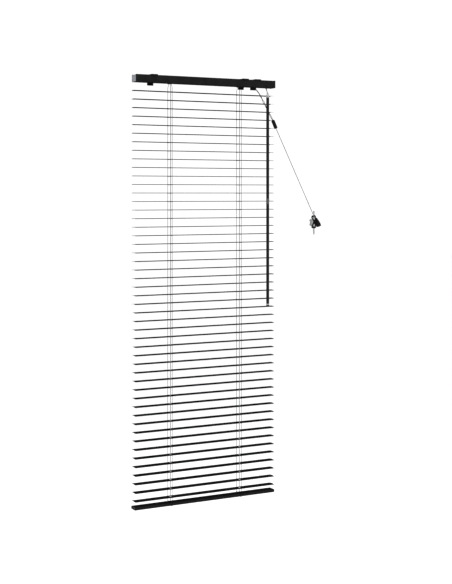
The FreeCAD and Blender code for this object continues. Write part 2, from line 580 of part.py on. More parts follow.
# ---------------------------------------------------------------- bottom rail
def foot_bar(x0, x1, inset):
    """Length of the bottom rail's rounded section, made smaller all round by inset."""
    half, rise = SLAT_WIDTH / 2 - inset, FOOT_HEIGHT / 2 - inset
    bar = box(x0, x1, MIDDLE - half, MIDDLE + half, FOOT_Z - rise, FOOT_Z + rise)
    corners = [(MIDDLE + y * half, FOOT_Z + z * rise) for y in (-1, 1) for z in (-1, 1)]
    return bar.makeFillet(FOOT_CORNER - inset, edges_along_x(bar, corners))


def bottom_rail_pieces():
    """Rolled tube, an end cap at each end and a cord button under each ladder."""
    x0, x1 = SLAT_SHIFT - SLAT_LENGTH / 2, SLAT_SHIFT + SLAT_LENGTH / 2
    tube = foot_bar(x0 + CAP_PLATE, x1 - CAP_PLATE, 0).cut(foot_bar(x0 - 1, x1 + 1, FOOT_WALL))
    under = FOOT_Z - FOOT_HEIGHT / 2
    pieces, holes = [], []
    for x in LADDERS:
        holes.append(rod(V(x, MIDDLE, under - 1), V(x, MIDDLE, under + 1), BUTTON_STEM_R + SLIP_FIT))
        at = V(x + LIFT_FOOT, MIDDLE, FOOT_Z)
        holes.append(rod(at, at + V(0, 0, FOOT_HEIGHT), LIFT_CORD_R + CLEAR))
        disc = rod(V(x, MIDDLE, under - BUTTON_DROP), V(x, MIDDLE, under), BUTTON_R)
        disc = disc.makeFillet(BUTTON_DROP * 0.5, [disc.Edges[k] for k in range(len(disc.Edges))
                                                   if on_ring(disc.Edges[k], under - BUTTON_DROP)])
        stem = rod(V(x, MIDDLE, under - 0.1), V(x, MIDDLE, under + FOOT_WALL), BUTTON_STEM_R)
        pieces.append(disc.fuse(stem).removeSplitter())
    for outer, inward in ((x0, 1), (x1, -1)):
        spans = [sorted((outer, outer + inward * CAP_PLATE)),
                 sorted((outer + inward * CAP_PLATE * 0.5, outer + inward * (CAP_PLATE + CAP_SKIRT)))]
        pieces.append(foot_bar(spans[0][0], spans[0][1], 0).fuse(
            foot_bar(spans[1][0], spans[1][1], FOOT_WALL + SLIP_FIT)).removeSplitter())
    return [tube.cut(holes)] + pieces


def on_ring(edge, z):
    return all(abs(v.Point.z - z) < 1e-6 for v in edge.Vertexes)


# ---------------------------------------------------------------- cord lock
def lock_pieces():
    """Lock housing with its cord mouth, the grip roller above the cords and the roller's pin."""
    x0, x1 = LOCK_X - LOCK_LEFT, LOCK_X + LOCK_RIGHT
    y0, y1 = LOCK_FRONT, LOCK_BACK
    z0 = FLOOR + SLIP_FIT
    shell = box(x0, x1, y0, y1, z0, LOCK_TOP).fuse(
        box(LOCK_X - LOCK_MOUTH, LOCK_X + LOCK_MOUTH, y0, y1, MOUTH_Z, z0 + 1))
    inside = box(x0 - 1, x1 - LOCK_WALL, y0 + LOCK_WALL, y1 - LOCK_WALL, z0 + LOCK_WALL, LOCK_TOP + 1)
    mouth = box(LOCK_X - LOCK_MOUTH + LOCK_WALL, LOCK_X + LOCK_MOUTH - LOCK_WALL, y0 + LOCK_WALL,
                y1 - LOCK_WALL, MOUTH_Z - 1, z0 + LOCK_WALL + 1)
    axle = V(LOCK_X + 4.5, y0, 2.4)
    pin_r = 0.8
    bore = rod(axle - V(0, 1, 0), V(axle.x, y1 + 1, axle.z), pin_r + SLIP_FIT)
    roller = rod(V(axle.x, y0 + LOCK_WALL + CLEAR, axle.z), V(axle.x, y1 - LOCK_WALL - CLEAR, axle.z), ROLLER_R)
    roller = roller.cut(bore)
    pin = rod(axle, V(axle.x, y1, axle.z), pin_r)
    return [shell.cut([inside, mouth, bore]).removeSplitter(), roller, pin]


# ---------------------------------------------------------------- pull cord
def from_mouth(points):
    """Places of the free cords' points; slats that stand out past the rail push them forward."""
    return [MOUTH + p + V(0, min(0, SLATS_FRONT - FRONT) if p.z < -5 else 0, 0) for p in points]


def winding():
    """Outer shape of the cord's turns round the cleat, a figure of eight that crosses in front."""
    centre = V(CLEAT_X, 0, CLEAT_Z)
    halves = []
    for way in (1, -WINDING_LOW):
        route = [centre + V(p.x, p.y, way * p.z) for p in WINDING_HALF]
        halves.append(cord_tube(route, WINDING_R))
    return halves[0].fuse(halves[1])


def pull_cord_pieces():
    ends = from_mouth([CONDENSER_END]) + [MOUTH + PULL_END]
    return [cord_tube(from_mouth(FRONT_ROUTE), LIFT_CORD_R, label="front lift cord"),
            cord_tube(from_mouth(BACK_ROUTE), LIFT_CORD_R, label="back lift cord"),
            rod(ends[0], ends[1], PULL_CORD_R)]


def condenser():
    top, end = from_mouth([CONDENSER_TOP, CONDENSER_END])
    along = (end - top).normalize()
    shoulder = 2.4
    body = rod(top + along * shoulder, end - along * 1.2, CONDENSER_R)
    return body.fuse([cone(top, top + along * shoulder, CONDENSER_R * 0.62, CONDENSER_R),
                      cone(end - along * 1.2, end, CONDENSER_R, CONDENSER_R * 0.8)]).removeSplitter()


def tassel():
    """Bell-shaped tassel on the cord's end."""
    outline = [V(0, 0, 0), V(TASSEL_TOP_R, 0, 0), V(TASSEL_BASE_R * 0.62, 0, TASSEL_LENGTH * 0.28),
               V(TASSEL_BASE_R, 0, TASSEL_LENGTH * 0.86), V(TASSEL_BASE_R * 0.86, 0, TASSEL_LENGTH),
               V(0, 0, TASSEL_LENGTH)]
    bell = Part.Face(Part.makePolygon(outline + outline[:1])).revolve(V(0, 0, 0), V(0, 0, 1), 360)
    bell.Placement = FreeCAD.Placement(V(CLEAT_X, 0, CLEAT_Z) + TASSEL_TOP,
                                       FreeCAD.Rotation(V(0, 0, 1), TASSEL_LEAN))
    return bell


# ---------------------------------------------------------------- cleat
def cleat_screw(z):
    head = -CLEAT_STAND - CLEAT_THICK
    shank = rod(V(CLEAT_X, head + 0.5, z), V(CLEAT_X, 0, z), SHANK_R)
    thread = rod(V(CLEAT_X, 0, z), V(CLEAT_X, SCREW_PAST_WALL - 3, z), SCREW_R)
    tip = cone(V(CLEAT_X, SCREW_PAST_WALL - 3, z), V(CLEAT_X, SCREW_PAST_WALL, z), SCREW_R, 0.25)
    cap = rod(V(CLEAT_X, head - 0.9, z), V(CLEAT_X, head + 0.6, z), SCREW_HEAD_R)
    return shank.fuse([thread, tip, cap]).removeSplitter()


def cleat_pieces():
    """Clear moulded cleat with two horns, and its two wall screws."""
    half = CLEAT_HORN / 2
    back, front = -CLEAT_STAND, -CLEAT_STAND - CLEAT_THICK
    reach = CLEAT_LENGTH / 2 - half
    horns = box(CLEAT_X - half, CLEAT_X + half, front, back, CLEAT_Z - reach, CLEAT_Z + reach).fuse(
        [rod(V(CLEAT_X, front, CLEAT_Z + s * reach), V(CLEAT_X, back, CLEAT_Z + s * reach), half)
         for s in (-1, 1)])
    base_half = CLEAT_BASE_HEIGHT / 2
    width = CLEAT_BASE_WIDTH / 2
    base = box(CLEAT_X - width, CLEAT_X + width, -3, 0, CLEAT_Z - base_half, CLEAT_Z + base_half)
    post = box(CLEAT_X - half - 0.6, CLEAT_X + half + 0.6, back - 1, -2, CLEAT_Z - 8, CLEAT_Z + 8)
    pad = rod(V(CLEAT_X, front, CLEAT_Z), V(CLEAT_X, back, CLEAT_Z), 4.2)
    heights = [CLEAT_Z + s * SCREW_SPACING / 2 for s in (-1, 1)]
    bores = [rod(V(CLEAT_X, front - 1, z), V(CLEAT_X, 1, z), SCREW_R + SLIP_FIT) for z in heights]
    seats = [rod(V(CLEAT_X, front - 1, z), V(CLEAT_X, front + 0.6 + SLIP_FIT, z), SCREW_HEAD_R + SLIP_FIT)
             for z in heights]
    body = horns.fuse([base, post, pad]).removeSplitter().cut(bores + seats)
    return [body] + [cleat_screw(z) for z in heights]


# ---------------------------------------------------------------- all nodes
os.makedirs("parts", exist_ok=True)

save("headrail", [headrail()])
save("headrail_fittings", [end_cap(-1), end_cap(1)] + [drum_cradle(x) for x in LADDERS]
     + [tilter_housing()] + lock_pieces())
save("mounting_brackets", [bracket(inset) for inset in BRACKET_INSETS])
save("tilt_shaft", [tilt_rod()] + [drum(x) for x in LADDERS] + [worm_wheel()])
save("tilt_worm", [worm()])
save("tilt_wand", wand_pieces())
save("ladder_and_lift_cords", [ladder(x) for x in LADDERS] + lift_cords())
save("bottom_rail", bottom_rail_pieces())
save("pull_cord", pull_cord_pieces() + [winding()])
save("cord_fittings", [condenser(), tassel()])
save("cord_cleat", cleat_pieces())

first_slat = slat()
for number in range(SLAT_COUNT):
    copy = first_slat.copy()
    copy.translate(V(0, 0, -number * SLAT_PITCH))
    save("slat_%02d" % (number + 1), [copy])
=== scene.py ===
"""Looks of an aluminium venetian blind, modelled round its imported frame.

Metres throughout. X runs along the blind, +Y points into the wall and +Z is up; the origin is on
the wall, midway between the wall holes of the two outer brackets.
"""

import json
import logging
import math
from dataclasses import dataclass
from enum import Enum
from typing import Any, Callable, Iterable, Sequence

import bpy
import numpy as np
from mathutils import Matrix, Vector


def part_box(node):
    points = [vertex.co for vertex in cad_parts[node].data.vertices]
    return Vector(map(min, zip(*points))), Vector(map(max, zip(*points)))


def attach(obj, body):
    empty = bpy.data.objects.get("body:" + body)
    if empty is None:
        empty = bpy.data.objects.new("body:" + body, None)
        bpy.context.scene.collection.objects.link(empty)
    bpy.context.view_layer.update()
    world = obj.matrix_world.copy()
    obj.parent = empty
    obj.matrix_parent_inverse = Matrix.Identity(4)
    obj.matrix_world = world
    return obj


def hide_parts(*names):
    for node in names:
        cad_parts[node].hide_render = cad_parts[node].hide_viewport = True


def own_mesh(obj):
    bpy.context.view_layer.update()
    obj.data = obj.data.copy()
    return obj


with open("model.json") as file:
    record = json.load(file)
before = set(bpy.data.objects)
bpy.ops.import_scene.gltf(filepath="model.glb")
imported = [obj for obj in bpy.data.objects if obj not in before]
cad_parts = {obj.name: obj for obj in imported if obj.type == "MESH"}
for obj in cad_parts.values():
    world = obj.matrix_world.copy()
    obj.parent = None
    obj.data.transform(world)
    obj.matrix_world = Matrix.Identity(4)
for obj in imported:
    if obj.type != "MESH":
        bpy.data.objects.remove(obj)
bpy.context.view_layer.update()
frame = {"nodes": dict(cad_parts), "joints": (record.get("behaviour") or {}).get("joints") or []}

MM = 0.001
Place = Sequence[float]
Colour = tuple[float, float, float]
log = logging.getLogger("blind")


# ---------------------------------------------------------------- places read from the frame
def joint_place(name: str) -> Vector:
    """Finds the point that a joint turns about.

    Args:
        name: The joint's name.

    Returns:
        The point, in metres.
    """
    return next(Vector(joint["pos_m"]) for joint in frame["joints"] if joint["name"] == name)


def millimetres(points: Iterable[Place], start: Vector = Vector()) -> list[Vector]:
    """Turns places in millimetres into places in metres.

    Args:
        points: The places, measured from start.
        start: Where they are measured from, in metres.

    Returns:
        The places in metres.
    """
    return [start + Vector(point) * MM for point in points]


RAIL_LOW, RAIL_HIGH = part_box("headrail")
SHAFT = joint_place("shaft_turn")
FOOT = joint_place("bottom_rail_tilt")
FOOT_LOW, FOOT_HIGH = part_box("bottom_rail")
WAND = joint_place("wand_turn")
SLATS = [Vector(j["pos_m"]) for j in frame["joints"] if j["name"].startswith("slat_tilt_")]
SLAT_LOW, SLAT_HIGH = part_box("slat_01")
MIDDLE = SHAFT.y
LADDER_INSET = 101.0 * MM
LADDERS = (RAIL_LOW.x + LADDER_INSET, RAIL_HIGH.x - LADDER_INSET)
SIDES = ("left", "right")
STRING_REACH = 13.1 * MM
LOCK_MOUTH = Vector((144.5, -28.0, -11.0)) * MM
CLEAT = Vector((333.5, 0.0, -369.2)) * MM


# ---------------------------------------------------------------- modelling moves
class Pick(Enum):
    """What a selection is made of."""

    EDGE = "EDGE"
    FACE = "FACE"


class Bench:
    """The moves that every piece is modelled with."""

    @staticmethod
    def clear() -> None:
        """Leaves edit mode and deselects everything."""
        if bpy.context.mode != "OBJECT":
            bpy.ops.object.mode_set(mode="OBJECT")
        bpy.ops.object.select_all(action="DESELECT")

    @staticmethod
    def hold(*pieces: bpy.types.Object) -> None:
        """Selects these pieces only; the first is the active one."""
        Bench.clear()
        for piece in pieces:
            piece.select_set(True)
        bpy.context.view_layer.objects.active = pieces[0]

    @staticmethod
    def take(name: str) -> bpy.types.Object:
        """Names the primitive just added and puts its place into its mesh.

        Args:
            name: The piece's name.

        Returns:
            The piece.
        """
        piece = bpy.context.active_object
        piece.name = piece.data.name = name
        bpy.ops.object.transform_apply(location=True, rotation=True, scale=True)
        return piece

    @staticmethod
    def block(name: str, low: Place, high: Place) -> bpy.types.Object:
        """Makes a block from its lowest and highest corners.

        Args:
            name: The piece's name.
            low: The lowest corner.
            high: The highest corner.

        Returns:
            The piece.
        """
        low, high = Vector(low), Vector(high)
        Bench.clear()
        bpy.ops.mesh.primitive_cube_add(size=1, location=(low + high) / 2)
        bpy.ops.transform.resize(value=high - low)
        return Bench.take(name)

    @staticmethod
    def bar(
        name: str, start: Vector, end: Vector, radius: float, sides: int = 32, turn: float = 0.0,
    ) -> bpy.types.Object:
        """Makes a round or many-sided bar between two points.

        Args:
            name: The piece's name.
            start: The middle of its first end.
            end: The middle of its last end.
            radius: Its radius over the corners.
            sides: How many sides it has.
            turn: How far it is turned about its own axis, in radians.

        Returns:
            The piece.
        """
        along = end - start
        way = along.to_track_quat("Z", "Y") @ Matrix.Rotation(turn, 3, "Z").to_quaternion()
        Bench.clear()
        bpy.ops.mesh.primitive_cone_add(
            vertices=sides, radius1=radius, radius2=radius, depth=along.length,
            location=(start + end) / 2, rotation=way.to_euler(),
        )
        return Bench.take(name)

    @staticmethod
    def turned(
        name: str, outline: Sequence[tuple[float, float]], start: Vector, along: Vector, sides: int = 40,
    ) -> bpy.types.Object:
        """Turns a piece on the lathe: a disc, extruded and scaled step by step.

        Args:
            name: The piece's name.
            outline: Radius and distance along the axis of each step, in metres.
            start: Where distance 0 is.
            along: The axis.
            sides: How many sides each ring has.

        Returns:
            The piece.
        """
        Bench.clear()
        (radius, reach), rest = outline[0], outline[1:]
        bpy.ops.mesh.primitive_circle_add(
            vertices=sides, radius=radius, fill_type="NGON", location=(0, 0, reach))
        bpy.ops.object.mode_set(mode="EDIT")
        bpy.ops.mesh.select_all(action="SELECT")
        for next_radius, next_reach in rest:
            bpy.ops.mesh.extrude_region_move(
                TRANSFORM_OT_translate={"value": (0, 0, next_reach - reach)})
            scale = next_radius / radius
            bpy.ops.transform.resize(value=(scale, scale, scale))
            radius, reach = next_radius, next_reach
        bpy.ops.mesh.select_all(action="SELECT")
        bpy.ops.mesh.normals_make_consistent(inside=False)
        bpy.ops.object.mode_set(mode="OBJECT")
        piece = bpy.context.active_object
        bpy.ops.object.transform_apply(location=True, rotation=True, scale=True)
        piece.rotation_euler = along.to_track_quat("Z", "Y").to_euler()
        piece.location = start
        return Bench.take(name)

    @staticmethod
    def select(piece: bpy.types.Object, kind: Pick, test: Callable[..., bool]) -> None:
        """Opens the piece in edit mode with part of it selected.

        Args:
            piece: The piece.
            kind: What is selected.
            test: Says whether to take an edge (its two places) or a face (its middle and its
                normal).
        """
        Bench.hold(piece)
        bpy.ops.object.mode_set(mode="EDIT")
        bpy.ops.mesh.select_mode(type=kind.value)
        bpy.ops.mesh.select_all(action="DESELECT")
        bpy.ops.object.mode_set(mode="OBJECT")
        mesh = piece.data
        at = [point.co for point in mesh.vertices]
        if kind is Pick.EDGE:
            for edge in mesh.edges:
                edge.select = test(at[edge.vertices[0]], at[edge.vertices[1]])
        else:
            for face in mesh.polygons:
                face.select = test(face.center, face.normal)
        bpy.ops.object.mode_set(mode="EDIT")

    @staticmethod
    def round_edges(
        piece: bpy.types.Object, width: float, steps: int, test: Callable[[Vector, Vector], bool],
    ) -> None:
        """Rounds the edges that pass a test.

        Args:
            piece: The piece.
            width: The rounding's radius.
            steps: How many faces it has.
            test: Says whether to round the edge between two places.
        """
        Bench.select(piece, Pick.EDGE, test)
        bpy.ops.mesh.bevel(offset=width, segments=steps, affect="EDGES")
        bpy.ops.object.mode_set(mode="OBJECT")

    @staticmethod
    def slices(piece: bpy.types.Object, axis: int, places: Iterable[float]) -> None:
        """Cuts edge lines all round the piece, square to an axis.

        Args:
            piece: The piece.
            axis: 0, 1 or 2 for X, Y or Z.
            places: Where along the axis the lines go.
        """
        square = [0.0, 0.0, 0.0]
        square[axis] = 1.0
        Bench.hold(piece)
        bpy.ops.object.mode_set(mode="EDIT")
        for place in places:
            bpy.ops.mesh.select_all(action="SELECT")
            bpy.ops.mesh.bisect(plane_co=[place * s for s in square], plane_no=square)
        bpy.ops.object.mode_set(mode="OBJECT")

    @staticmethod
    def modify(piece: bpy.types.Object, kind: str, **settings: Any) -> None:
        """Adds a modifier to the piece and applies it.

        Args:
            piece: The piece.
            kind: The modifier's type.
            **settings: Its settings by name.
        """
        Bench.hold(piece)
        bpy.ops.object.modifier_add(type=kind)
        modifier = piece.modifiers[-1]
        for key, value in settings.items():
            setattr(modifier, key, value)
        bpy.ops.object.modifier_apply(modifier=modifier.name)

    @staticmethod
    def soften(piece: bpy.types.Object, width: float, steps: int = 2) -> None:
        """Breaks every sharp edge of the piece by this width."""
        Bench.modify(piece, "BEVEL", width=width, segments=steps, limit_method="ANGLE",
                     angle_limit=math.radians(40), use_clamp_overlap=True)

    @staticmethod
    def combine(piece: bpy.types.Object, tools: Iterable[bpy.types.Object], how: str) -> None:
        """Cuts tools out of the piece or adds them to it, and throws the tools away.

        Args:
            piece: The piece.
            tools: The closed shapes that it is combined with.
            how: DIFFERENCE or UNION.
        """
        for tool in tools:
            Bench.modify(piece, "BOOLEAN", object=tool, operation=how, solver="EXACT")
            bpy.data.objects.remove(tool)

    @staticmethod
    def join(name: str, pieces: Sequence[bpy.types.Object]) -> bpy.types.Object:
        """Makes one piece of several.

        Args:
            name: The new piece's name.
            pieces: The pieces.

        Returns:
            The piece.
        """
        Bench.hold(*pieces)
        if len(pieces) > 1:
            bpy.ops.object.join()
        pieces[0].name = pieces[0].data.name = name
        return pieces[0]

    @staticmethod
    def copy(piece: bpy.types.Object, name: str, shift: Place = (0, 0, 0)) -> bpy.types.Object:
        """Copies a piece with a mesh of its own.

        Args:
            piece: The piece.
            name: The copy's name.
            shift: How far the copy stands from the piece.

        Returns:
            The copy.
        """
        Bench.hold(piece)
        bpy.ops.object.duplicate(linked=False)
        bpy.ops.transform.translate(value=Vector(shift))
        return Bench.take(name)

    @staticmethod
    def parts_of(node: str) -> list[bpy.types.Object]:
        """Makes a merged copy of a CAD node's mesh, taken apart into its separate solids.

        Args:
            node: The node's name.

        Returns:
            The solids, as pieces.
        """
        whole = bpy.data.objects.new(node + "_copy", frame["nodes"][node].data.copy())
        bpy.context.scene.collection.objects.link(whole)
        Bench.hold(whole)
        bpy.ops.object.mode_set(mode="EDIT")
        bpy.ops.mesh.select_all(action="SELECT")
        bpy.ops.mesh.remove_doubles(threshold=0.002 * MM)
        bpy.ops.mesh.separate(type="LOOSE")
        bpy.ops.object.mode_set(mode="OBJECT")
        return list(bpy.context.selected_objects)

    @staticmethod
    def nearest(pieces: list[bpy.types.Object], place: Place) -> bpy.types.Object:
        """Takes the piece whose box is centred nearest to a place out of a list.

        Args:
            pieces: The pieces, from which the found one is taken.
            place: The place.

        Returns:
            The piece.
        """
        def off(piece: bpy.types.Object) -> float:
            corners = [Vector(corner) for corner in piece.bound_box]
            return (sum(corners, Vector()) / len(corners) - Vector(place)).length

        found = min(pieces, key=off)
        pieces.remove(found)
        return found


# ---------------------------------------------------------------- finishes
class Sketch:
    """A material's nodes while they are put together."""

    def __init__(self, name: str) -> None:
        """Starts a material with its main shader."""
        self.material = bpy.data.materials.new(name)
        self.material.use_nodes = True
        self.tree = self.material.node_tree
        self.shader = self.tree.nodes["Principled BSDF"]
        self.place = self.tree.nodes.new("ShaderNodeTexCoord")

    def add(self, kind: str, values: dict[str, Any] | None = None, **settings: Any) -> bpy.types.Node:
        """Adds a node.

        Args:
            kind: Its type.
            values: Its input values by socket name.
            **settings: Its own settings.

        Returns:
            The node.
        """
        node = self.tree.nodes.new(kind)
        for key, value in settings.items():
            setattr(node, key, value)
        for key, value in (values or {}).items():
            node.inputs[key].default_value = value
        return node

    def link(self, start: bpy.types.NodeSocket, end: bpy.types.NodeSocket) -> None:
        """Joins an output to an input."""
        self.tree.links.new(start, end)

    def noise(
        self, stretch: Place, scale: float, detail: float = 3.0, from_uv: bool = False,
    ) -> bpy.types.NodeSocket:
        """Adds a noise that is fixed to the piece.

        Args:
            stretch: How much finer it is along each axis.
            scale: How many of its cells fit in a metre.
            detail: How much fine detail it has.
            from_uv: Whether it follows the surface's own map.

        Returns:
            The noise's value.
        """
        mapping = self.add("ShaderNodeMapping", {"Scale": tuple(stretch)})
        self.link(self.place.outputs["UV" if from_uv else "Object"], mapping.inputs["Vector"])
        cells = self.add("ShaderNodeTexNoise", {"Scale": scale, "Detail": detail, "Roughness": 0.55})
        self.link(mapping.outputs["Vector"], cells.inputs["Vector"])
        return cells.outputs["Fac"]

    def spread(self, value: bpy.types.NodeSocket, low: float, high: float) -> bpy.types.NodeSocket:
        """Spreads a noise's middle range over two values.

        Args:
            value: The noise.
            low: What its low end becomes.
            high: What its high end becomes.

        Returns:
            The spread value.
        """
        ranged = self.add("ShaderNodeMapRange", {
            "From Min": 0.3, "From Max": 0.7, "To Min": low, "To Max": high})
        self.link(value, ranged.inputs["Value"])
        return ranged.outputs["Result"]

    def tint(self, value: bpy.types.NodeSocket, low: Colour, high: Colour) -> None:
        """Colours the surface between two colours.

        Args:
            value: The noise that chooses between them.
            low: The colour at its low end.
            high: The colour at its high end.
        """
        ramp = self.add("ShaderNodeValToRGB")
        ramp.color_ramp.elements[0].position = 0.35
        ramp.color_ramp.elements[0].color = (*low, 1.0)
        ramp.color_ramp.elements[1].position = 0.65
        ramp.color_ramp.elements[1].color = (*high, 1.0)
        self.link(value, ramp.inputs["Fac"])
        self.link(ramp.outputs["Color"], self.shader.inputs["Base Color"])

    def bump(self, value: bpy.types.NodeSocket, depth: float, strength: float = 1.0) -> None:
        """Adds relief to the surface, over any relief that it has.

        Args:
            value: The relief.
            depth: Its depth in metres.
            strength: How much of it shows.
        """
        relief = self.add("ShaderNodeBump", {"Distance": depth, "Strength": strength})
        self.link(value, relief.inputs["Height"])
        normal = self.shader.inputs["Normal"]
        if normal.is_linked:
            self.link(normal.links[0].from_socket, relief.inputs["Normal"])
        self.link(relief.outputs["Normal"], normal)


def shade(colour: Colour, amount: float) -> Colour:
    """Makes a colour lighter or darker by a factor."""
    return tuple(min(1.0, part * amount) for part in colour)


@dataclass(frozen=True)
class Finish:
    """A surface: its name, colour and gloss. Each kind of surface draws its own texture."""

    name: str
    colour: Colour
    roughness: float
    specular: float = 0.5

    def texture(self, sketch: Sketch) -> None:
        """Draws the surface's texture; a plain one has none."""

    def material(self) -> bpy.types.Material:
        """Gives the finish's material, made the first time it is asked for.

        Returns:
            The material.
        """
        made = bpy.data.materials.get(self.name)
        if made is None:
            sketch = Sketch(self.name)
            sketch.shader.inputs["Specular IOR Level"].default_value = self.specular
            self.texture(sketch)
            made = sketch.material
        return made


@dataclass(frozen=True)
class Enamel(Finish):
    """Stove enamel on sheet metal: fine peel, faint rolling lines along the blind."""

    peel: float = 0.03 * MM
    rolled: float = 0.0

    def texture(self, sketch: Sketch) -> None:
        """Draws clouding, uneven gloss, peel and rolling lines."""
        clouds = sketch.noise((1, 1, 1), 35)
        sketch.tint(clouds, shade(self.colour, 0.86), shade(self.colour, 1.16))
        grain = sketch.noise((1, 1, 1), 900)
        sketch.link(sketch.spread(grain, self.roughness - 0.05, self.roughness + 0.06),
                    sketch.shader.inputs["Roughness"])
        sketch.bump(grain, self.peel, 0.5)
        if self.rolled:
            sketch.bump(sketch.noise((0.02, 1, 1), 1300, 2.0), self.rolled, 0.5)


@dataclass(frozen=True)
class Plastic(Finish):
    """Moulded plastic with a fine spark-eroded grain."""

    grain: float = 0.02 * MM
    clear: float = 0.0

    def texture(self, sketch: Sketch) -> None:
        """Draws flow marks, grain and, in clear plastic, light that passes through."""
        flow = sketch.noise((1, 1, 0.35), 120)
        sketch.tint(flow, shade(self.colour, 0.92), shade(self.colour, 1.08))
        sketch.link(sketch.spread(flow, self.roughness - 0.04, self.roughness + 0.05),
                    sketch.shader.inputs["Roughness"])
        sketch.bump(sketch.noise((1, 1, 1), 2600, 2.0), self.grain, 0.4)
        sketch.shader.inputs["Transmission Weight"].default_value = self.clear
        sketch.shader.inputs["IOR"].default_value = 1.49


@dataclass(frozen=True)
class Steel(Finish):
    """Zinc-plated steel with fine drawing lines."""

    def texture(self, sketch: Sketch) -> None:
        """Draws the plating's spangle and the drawing lines."""
        sketch.shader.inputs["Metallic"].default_value = 1.0
        spangle = sketch.noise((1, 1, 1), 260)
        sketch.tint(spangle, shade(self.colour, 0.85), shade(self.colour, 1.1))
        lines = sketch.noise((0.03, 1, 1), 2200)
        sketch.link(sketch.spread(lines, self.roughness - 0.07, self.roughness + 0.08),
                    sketch.shader.inputs["Roughness"])
        sketch.bump(lines, 0.01 * MM, 0.6)


@dataclass(frozen=True)
class Yarn(Finish):
    """Polyester yarn: fibres that run round the braid, with a soft sheen."""

    def texture(self, sketch: Sketch) -> None:
        """Draws the fibres and their sheen."""
        fibres = sketch.noise((14, 900, 1), 1.0, 4.0, from_uv=True)
        sketch.tint(fibres, shade(self.colour, 0.7), shade(self.colour, 1.5))
        sketch.link(sketch.spread(fibres, self.roughness - 0.1, self.roughness + 0.1),
                    sketch.shader.inputs["Roughness"])
        sketch.bump(fibres, 0.05 * MM, 0.7)
        sketch.shader.inputs["Sheen Weight"].default_value = 0.03
        sketch.shader.inputs["Sheen Roughness"].default_value = 0.5


@dataclass(frozen=True)
class Paint(Finish):
    """Matt pale paint of the studio floor."""

    def texture(self, sketch: Sketch) -> None:
        """Draws a faint unevenness."""
        clouds = sketch.noise((1, 1, 1), 3)
        sketch.tint(clouds, shade(self.colour, 0.99), self.colour)
        sketch.shader.inputs["Roughness"].default_value = self.roughness


RAIL_ENAMEL = Enamel("rail_enamel", (0.024, 0.024, 0.0247), 0.5, 0.0)
SLAT_ENAMEL = Enamel("slat_enamel", (0.024, 0.024, 0.0247), 0.52, 0.0, rolled=0.02 * MM)
BRACKET_ENAMEL = Enamel("bracket_enamel", (0.016, 0.016, 0.0165), 0.42, 0.04, peel=0.05 * MM)
GREY_PLASTIC = Plastic("grey_moulding", (0.27, 0.285, 0.31), 0.45, 0.2)
PALE_PLASTIC = Plastic("nylon_moulding", (0.55, 0.55, 0.53), 0.4)
BLACK_PLASTIC = Plastic("black_moulding", (0.018, 0.018, 0.0186), 0.45, 0.06)
GLOSS_BLACK = Plastic("gloss_black_moulding", (0.02, 0.02, 0.0206), 0.3, 0.12, grain=0.008 * MM)
CLEAR_PLASTIC = Plastic("clear_moulding", (0.52, 0.53, 0.545), 0.25, 0.3, clear=0.4)
SMOKED_PLASTIC = Plastic("smoked_moulding", (0.12, 0.122, 0.128), 0.22, 0.3, clear=0.3)
ZINC = Steel("zinc_plate", (0.5, 0.5, 0.51), 0.3)
BLACK_YARN = Yarn("black_braid", (0.012, 0.012, 0.0124), 0.8, 0.0)


class Slot(Enum):
    """The record's material slots."""

    RAIL = "black_rail_enamel"
    BRACKET = "black_bracket_enamel"
    SLAT = "black_slat_enamel"
    GREY = "grey_plastic"
    BLACK = "black_plastic"
    CLEAR = "clear_plastic"
    STEEL = "zinc_steel"
    CORD = "black_cord"


def dress(
    piece: bpy.types.Object, finish: Finish, slot: Slot, body: str, *nodes: str, angle: float = 35.0,
) -> bpy.types.Object:
    """Gives a finished piece its surface and its body, and hides the CAD nodes that it stands for.

    Args:
        piece: The piece.
        finish: Its finish.
        slot: Not used.
        body: The body that it moves with.
        *nodes: The CAD nodes that it stands for.
        angle: Edges that turn less than this, in degrees, are shaded smooth.

    Returns:
        The piece.
    """
    Bench.hold(piece)
    bpy.ops.object.shade_smooth_by_angle(angle=math.radians(angle))
    piece.data.materials.clear()
    piece.data.materials.append(finish.material())
    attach(piece, body)
    if nodes:
        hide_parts(*nodes)
    log.info("%s: %d faces, moves with %s", piece.name, len(piece.data.polygons), body)
    return piece


# ---------------------------------------------------------------- cords
class Line:
    """The smooth centreline of a cord, string or wire, read from the spline of its route."""

    STEPS = 24

    def __init__(self, route: Sequence[Vector]) -> None:
        """Draws the spline through its control points and reads it.

        Args:
            route: The spline's control points.
        """
        curve = bpy.data.curves.new("route", "CURVE")
        curve.dimensions = "3D"
        spline = curve.splines.new("NURBS")
        spline.points.add(len(route) - 1)
        for point, place in zip(spline.points, route):
            point.co = (*place, 1.0)
        spline.order_u = 3
        spline.use_endpoint_u = True
        spline.resolution_u = self.STEPS
        carrier = bpy.data.objects.new("route", curve)
        bpy.context.scene.collection.objects.link(carrier)
        bpy.context.view_layer.update()
        read = bpy.data.meshes.new_from_object(carrier)
        self.points = np.array([point.co for point in read.vertices], float)
        bpy.data.meshes.remove(read)
        bpy.data.objects.remove(carrier)
        bpy.data.curves.remove(curve)

    def runs(self) -> np.ndarray:
        """Gives each point's distance along the line."""
        steps = np.linalg.norm(np.diff(self.points, axis=0), axis=1)
        return np.concatenate([[0.0], np.cumsum(steps)])

    def spaced(self, gap: float) -> np.ndarray:
        """Gives points at an even spacing.

        Args:
            gap: The spacing.

        Returns:
            The points, one row each.
        """
        runs = self.runs()
        at = np.linspace(0.0, runs[-1], max(2, round(runs[-1] / gap) + 1))
        return np.stack([np.interp(at, runs, self.points[:, k]) for k in range(3)], axis=1)


